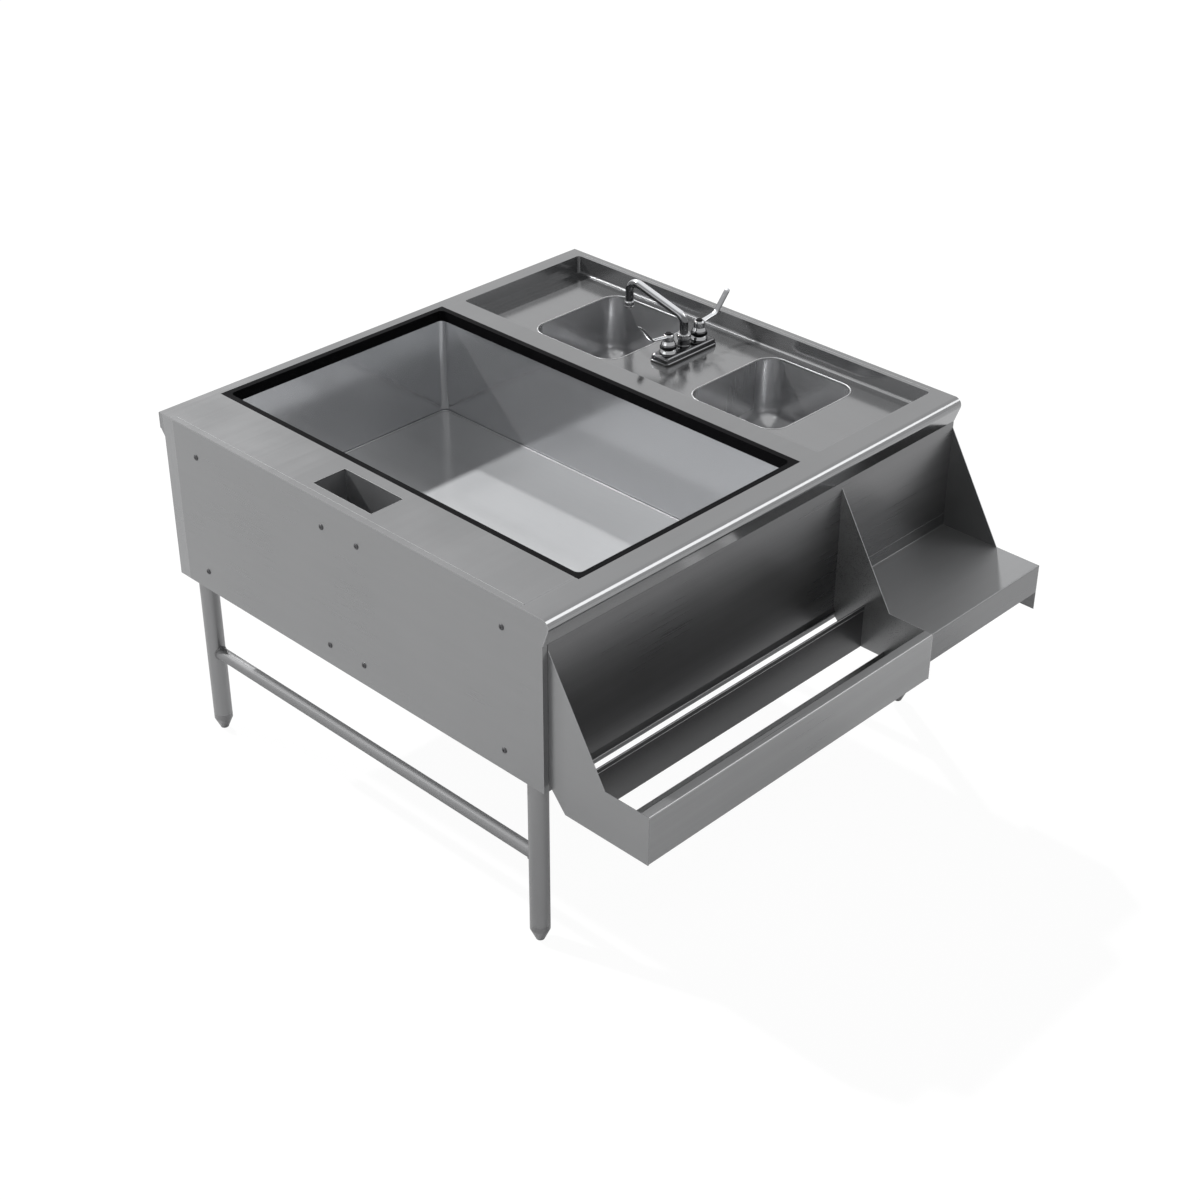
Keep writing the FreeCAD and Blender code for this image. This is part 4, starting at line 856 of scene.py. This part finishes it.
# %% Levers
HUB_HEIGHT = 28
HUB = [  # radius, height
    (0, 16.3), (8.05, 16.3), (8.05, 0), (15.8, 0), (16.5, 0.8), (16.5, 5.2), (14.9, 8.6),
    (13.0, 12.4), (12.5, 15.5), (12.5, 23.6), (11.7, 26.4), (10, HUB_HEIGHT), (0, HUB_HEIGHT)]
CAP = [(0, 0), (7.5, 0), (7.5, 1.1), (6.8, 2.1), (5.0, 2.5), (4.4, 2.2), (0, 2.0)]
for side_name, outward in (("hot", -1), ("cold", 1)):
    valve_x, lever_name = VALVES[side_name], side_name + "_lever"
    lever = bmesh.new()
    profile = rounded_line(HUB, radii=0.9, steps=3)
    add_turned(lever, profile, at(valve_x, TAP_Y, HUB_Z))
    add_blade(lever, valve_x, outward)
    # The blade takes the spout's plating, with its painted shade and painted highlight.
    finishes = [chrome, painted_light_and_shade_spout_chrome]
    place_piece(lever_name + "_handle", lever, finishes, lever_name, [lever_name])
    button = bmesh.new()
    profile = rounded_line(CAP, radii=0.4, steps=3)
    add_turned(button, profile, at(valve_x, TAP_Y, HUB_Z + HUB_HEIGHT))
    finishes, replaced = [black_plastic], [lever_name + "_cap"]
    place_piece(lever_name + "_button", button, finishes, lever_name, replaced)

# %% [markdown]
# ## Spout
#
# The spout is one bent tube. It swivels in the collar, held by a fluted nut, and
# ends in an aerator with a fine screen. The bends are true arcs, as a tube bender
# makes them, and the nut's flutes are a radius that waves round the ring.

# %% Round bars
ANY_SIDE = Vector((0.31, 0.17, 0.93))  # a direction that no bar follows


def add_swept(shape, line, radius, steps, closed=False):
    """A round bar along a line of millimetre points; radius may depend on the point's number."""
    side = ANY_SIDE
    rings = []
    for i, point in enumerate(line):
        onward = line[(i + 1) % len(line)] if closed else line[min(i + 1, len(line) - 1)]
        before = line[i - 1] if closed else line[max(i - 1, 0)]
        along = (onward - before).normalized()
        side = (side - along * side.dot(along)).normalized()
        other = along.cross(side)
        reach = radius(i) if callable(radius) else radius
        ring = []
        for k in range(steps):
            angle = FULL_TURN * k / steps
            outward = side * math.cos(angle) + other * math.sin(angle)
            ring.append(shape.verts.new((point + outward * reach) * MM))
        rings.append(ring)
    if not closed:
        start, stop = shape.verts.new(line[0] * MM), shape.verts.new(line[-1] * MM)
        rings = [[start]] + rings + [[stop]]
    skin(shape, rings, closed)


print("bars start from", list(ANY_SIDE))

# %% Spout
PAN_Z = 742.0
SPOUT_REACH, SPOUT_RADIUS, SPOUT_SIDES = 168, 9.5, 40
SPOUT_CORNERS = [(0, 0, 19.6), (0, 0, 85), (0, SPOUT_REACH, 129), (0, SPOUT_REACH, 61.5)]
SPOUT_BENDS, BEND_STEPS = [20, 28], 18
AERATOR_FOOT = 58.5  # above the pan
spout = bmesh.new()
spout_foot = Vector((TAP_X, TAP_Y, PAN_Z))
spout_line = rounded_line(SPOUT_CORNERS, SPOUT_BENDS, BEND_STEPS)
add_swept(spout, [spout_foot + point for point in spout_line], SPOUT_RADIUS, SPOUT_SIDES)
# The spout's plating carries a painted shade and a painted highlight on top.
place_piece("spout_tube", spout, [painted_light_and_shade_spout_chrome], "spout", ["spout"])

# %% Spout nut
FLUTES, FLUTE_DEPTH, NUT_STEPS = 18, 0.7, 144


def fluted(radius):
    """A radius with shallow flutes all round."""
    return lambda angle: radius - FLUTE_DEPTH * max(0.0, math.cos(FLUTES * angle)) ** 2


NUT = [  # radius, height
    (9.6, 0), (14.6, 0), (15.4, 0.9), (15.9, 1.8), (fluted(16.4), 3.4), (fluted(16.4), 9.2),
    (15.9, 10.8), (14.6, 11.9), (12.2, 12.7), (9.6, 13)]
nut = bmesh.new()
add_turned(nut, NUT, at(TAP_X, TAP_Y, COLLAR_TOP), steps=NUT_STEPS, closed=True)
place_piece("spout_swivel_nut", nut, [chrome], "cabinet", ["spout_nut"])

# %% Aerator
AERATOR = [  # radius, height
    (8.3, 0.4), (8.8, 0), (10.8, 0), (11.4, 0.8), (11.5, 1.6), (11.5, 4.0), (11.0, 4.6),
    (11.5, 5.2), (11.5, 12.8), (10.9, 14.8), (9.9, 16), (9.55, 16), (9.55, 3.6), (8.3, 3.6)]
SCREEN = [(0, 2.4), (8.3, 2.4), (8.3, 3.6), (0, 3.6)]
spout_end = at(TAP_X, TAP_Y + SPOUT_REACH, PAN_Z + AERATOR_FOOT)
outlet = bmesh.new()
add_turned(outlet, AERATOR, spout_end, closed=True)
add_turned(outlet, SCREEN, spout_end, finish=1)
place_piece("spout_aerator", outlet, [chrome, bolt_steel], "spout", ["aerator"])

# %% [markdown]
# ## Screws and stoppers
#
# The side panels are held by countersunk cross-head screws, which look like dark
# dots from afar, because of the recess and a nearly black tone painted on the
# metal, a painted shade.
# The recess is the last part of the head's own profile, with a radius that has four
# lobes. Each bowl is closed by a stopper that sits in the strainer's cup.

# %% Panel screws
SCREW_PLACES = [(y, z) for y in (-336.5, 66.5, 171.5, 574.5) for z in (446.0, 720.0)]
PANEL_FACE = 609.6
SCREW_STEPS = 32
LOBE_SHARPNESS = 3


def lobes(reach, waist):
    """A radius with four lobes, like a cross recess."""
    return lambda angle: waist + (reach - waist) * abs(math.cos(2 * angle)) ** LOBE_SHARPNESS


SCREW = [  # radius, height above the panel
    (0, -9), (3, -9), (3, 0), (6.5, 0), (6.3, 0.7), (5.4, 1.7), (4.3, 2.3), (3.7, 2.4),
    (lobes(3.3, 1.1), 2.35), (lobes(2.5, 0.8), 1.0), (0, 0.5)]
screws = bmesh.new()
for y, z in SCREW_PLACES:
    for side in (-1, 1):
        hole = at(side * PANEL_FACE, y, z, side * math.pi / 2)
        add_turned(screws, SCREW, hole, steps=SCREW_STEPS)
place_piece("cross_head_screws", screws, [painted_shade_screw_steel], "cabinet", ["panel_screws"])

# %% Stoppers
BOWL_MID_X, BOWL_MIDS, BOWL_FLOOR = 417.6, {"front": -99.5, "rear": 376.5}, 577.0
CUP = [  # radius, height above the bowl's floor: the cup, then the stopper and its knob
    (0, -7), (21, -7), (21, -40), (25, -40), (25, 0), (38, 0), (37.6, 0.8), (36.4, 1.5),
    (26, 1.6), (23.4, 1.5), (21.6, 0.5), (21, -1),
    (21, -4.4), (20.2, -4.4), (19.6, -3.8), (17.6, -3.8), (17, -4.6), (11, -5), (7.5, -4.8),
    (4.6, -4), (3.2, -2.6), (3.4, -1.2), (5.4, 0.2), (6, 1), (5.6, 1.8), (4, 2), (0, 1.7)]
for place_name, mid_y in BOWL_MIDS.items():
    cup = bmesh.new()
    profile = rounded_line(CUP, radii=0.4, steps=2)
    add_turned(cup, profile, at(BOWL_MID_X, mid_y, BOWL_FLOOR))
    replaced = [place_name + "_sink_strainer"]
    place_piece(place_name + "_bowl_stopper", cup, [drain_steel], "cabinet", replaced)

# %% [markdown]
# ## Beads and seams
#
# Where sheets meet, a welder runs a bead and grinds it down, and a thin bright line
# is left. A scratch in a texture would not catch light from all sides, so each bead
# is a thin round bar, half sunk in the sheet: round the mouths of the bowls, the
# chute and the liner's floor, and along the deck's ends. The folded hems of the rail
# are rubbed bright by bottles, and their edges are made in the same way.

# %% Loops
BOWL_MOUTH = (741.3, 284.6, 254.6, 45, 1.7, rim_steel)
LOOPS = {  # name: middle x, y, z, length, width, corner, bar radius, finish
    "front_bowl_rim": (BOWL_MID_X, BOWL_MIDS["front"], *BOWL_MOUTH),
    "rear_bowl_rim": (BOWL_MID_X, BOWL_MIDS["rear"], *BOWL_MOUTH),
    "chute_rim": (-538.1, 140.5, 783.5, 81.4, 174.4, 1.5, 0.7, seam_steel),
    "liner_floor_bead": (-156.6, 137.0, 530.5, 597.0, 1032.0, 16, 1.5, bead_steel),
}
LOOP_SIDES = 12
for name, (x, y, z, length, width, corner, bar, finish) in LOOPS.items():
    outline = rounded_rectangle(length, width, corner)
    loop = bmesh.new()
    loop_line = [Vector((x + dx, y + dy, z)) for dx, dy in outline]
    add_swept(loop, loop_line, bar, LOOP_SIDES, closed=True)
    place_piece(name, loop, [finish], "cabinet")

# %% Deck seams
SEAM_X, SEAM_Z, SEAM_FRONT, SEAM_BACK = 596.9, 783.4, -384, 646
SEAM_BAR, SEAM_PARTS, BEAD_SIDES = 0.8, 24, 10


def straight(start, stop, parts):
    """Evenly spaced points from one end of a bar to the other."""
    ends = list(zip(start, stop))
    return [Vector([a + (b - a) * k / parts for a, b in ends]) for k in range(parts + 1)]


seams = bmesh.new()
for side in (-1, 1):
    x = side * SEAM_X
    seam = straight((x, SEAM_FRONT, SEAM_Z), (x, SEAM_BACK, SEAM_Z), SEAM_PARTS)
    add_swept(seams, seam, SEAM_BAR, BEAD_SIDES)
place_piece("deck_end_seams", seams, [seam_steel], "cabinet")

# %% Rail hems
RAIL_LEFT, RAIL_DIVIDER, RAIL_RIGHT = -594.5, 233.4, 607.2
HEM_PARTS = 16
HEM_EDGES = [  # y, z, right end, bar radius
    (-521.7, 467.5, RAIL_DIVIDER, 0.9),
    (-521.7, 457.3, RAIL_DIVIDER, 0.7),
    (-449.6, 417.6, RAIL_RIGHT, 1.0),
]
hems = bmesh.new()
for y, z, right_end, bar in HEM_EDGES:
    add_swept(hems, straight((RAIL_LEFT, y, z), (right_end, y, z), HEM_PARTS), bar, BEAD_SIDES)
place_piece("rail_hem_edges", hems, [rim_steel], "cabinet")

# %% [markdown]
# ## Hem caps
#
# The deck's rear hem is folded down and forward, and its ends would show an open
# fold. A small plate with a slanted foot closes each end. Its outline is repeated
# three times, drawn in at the last one, so that the plate has a broken edge.

# %% Hem caps
HEM_LOW, FOOT_SLANT = 746, 16
CAP_SIDE = [  # y, z
    (679.6, 782.3), (689.5, 782.3), (691.4, 780.4), (691.4, HEM_LOW),
    (679.6, HEM_LOW - FOOT_SLANT)]
CAP_LEVELS = [(607.8, 0), (609.0, 0), (609.4, 0.5)]  # distance from the middle, drawn in
cap_corners = [Vector(corner) for corner in CAP_SIDE]
cap_middle = sum(cap_corners, Vector((0, 0))) / len(cap_corners)
caps = bmesh.new()
for side in (-1, 1):
    levels = []
    for x, drawn in CAP_LEVELS:
        outline = [spot + (cap_middle - spot).normalized() * drawn for spot in cap_corners]
        levels.append([caps.verts.new(Vector((side * x, y, z)) * MM) for y, z in outline])
    skin(caps, levels)
    caps.faces.new(levels[0])
    caps.faces.new(levels[-1])
place_piece("deck_hem_caps", caps, [sheet_along_y], "cabinet")

# %% [markdown]
# ## Stretcher welds
#
# A stretcher is butted against its legs and welded all round, and this bead is left
# unground, so it ripples. Its line is where the small tube meets the big one: a
# saddle, whose depth comes from the leg's own circle.

# %% Stretcher welds
LEG_X, LEG_YS, LEG_RADIUS = 576.6, (-391.5, 629.5), 20.65
BAR_Z, BAR_RADIUS = 206, 14
WELD_POINTS, WELD_SIDES = 96, 12
WELD_RADIUS, RIPPLE, RIPPLE_LENGTH = 2.1, 0.35, 4  # mm, mm, points


def rippled(i):
    """The weld's radius at one of its points."""
    return WELD_RADIUS + RIPPLE * math.sin(i * FULL_TURN / RIPPLE_LENGTH)


welds = bmesh.new()
for side in (-1, 1):
    for leg_y, inward in zip(LEG_YS, (1, -1)):
        saddle = []
        for k in range(WELD_POINTS):
            angle = FULL_TURN * k / WELD_POINTS
            off, rise = BAR_RADIUS * math.cos(angle), BAR_RADIUS * math.sin(angle)
            deep = inward * math.sqrt(LEG_RADIUS ** 2 - off ** 2)
            saddle.append(Vector((side * LEG_X + off, leg_y + deep, BAR_Z + rise)))
        add_swept(welds, saddle, rippled, WELD_SIDES, closed=True)
place_piece("stretcher_welds", welds, [weld_steel], "cabinet")
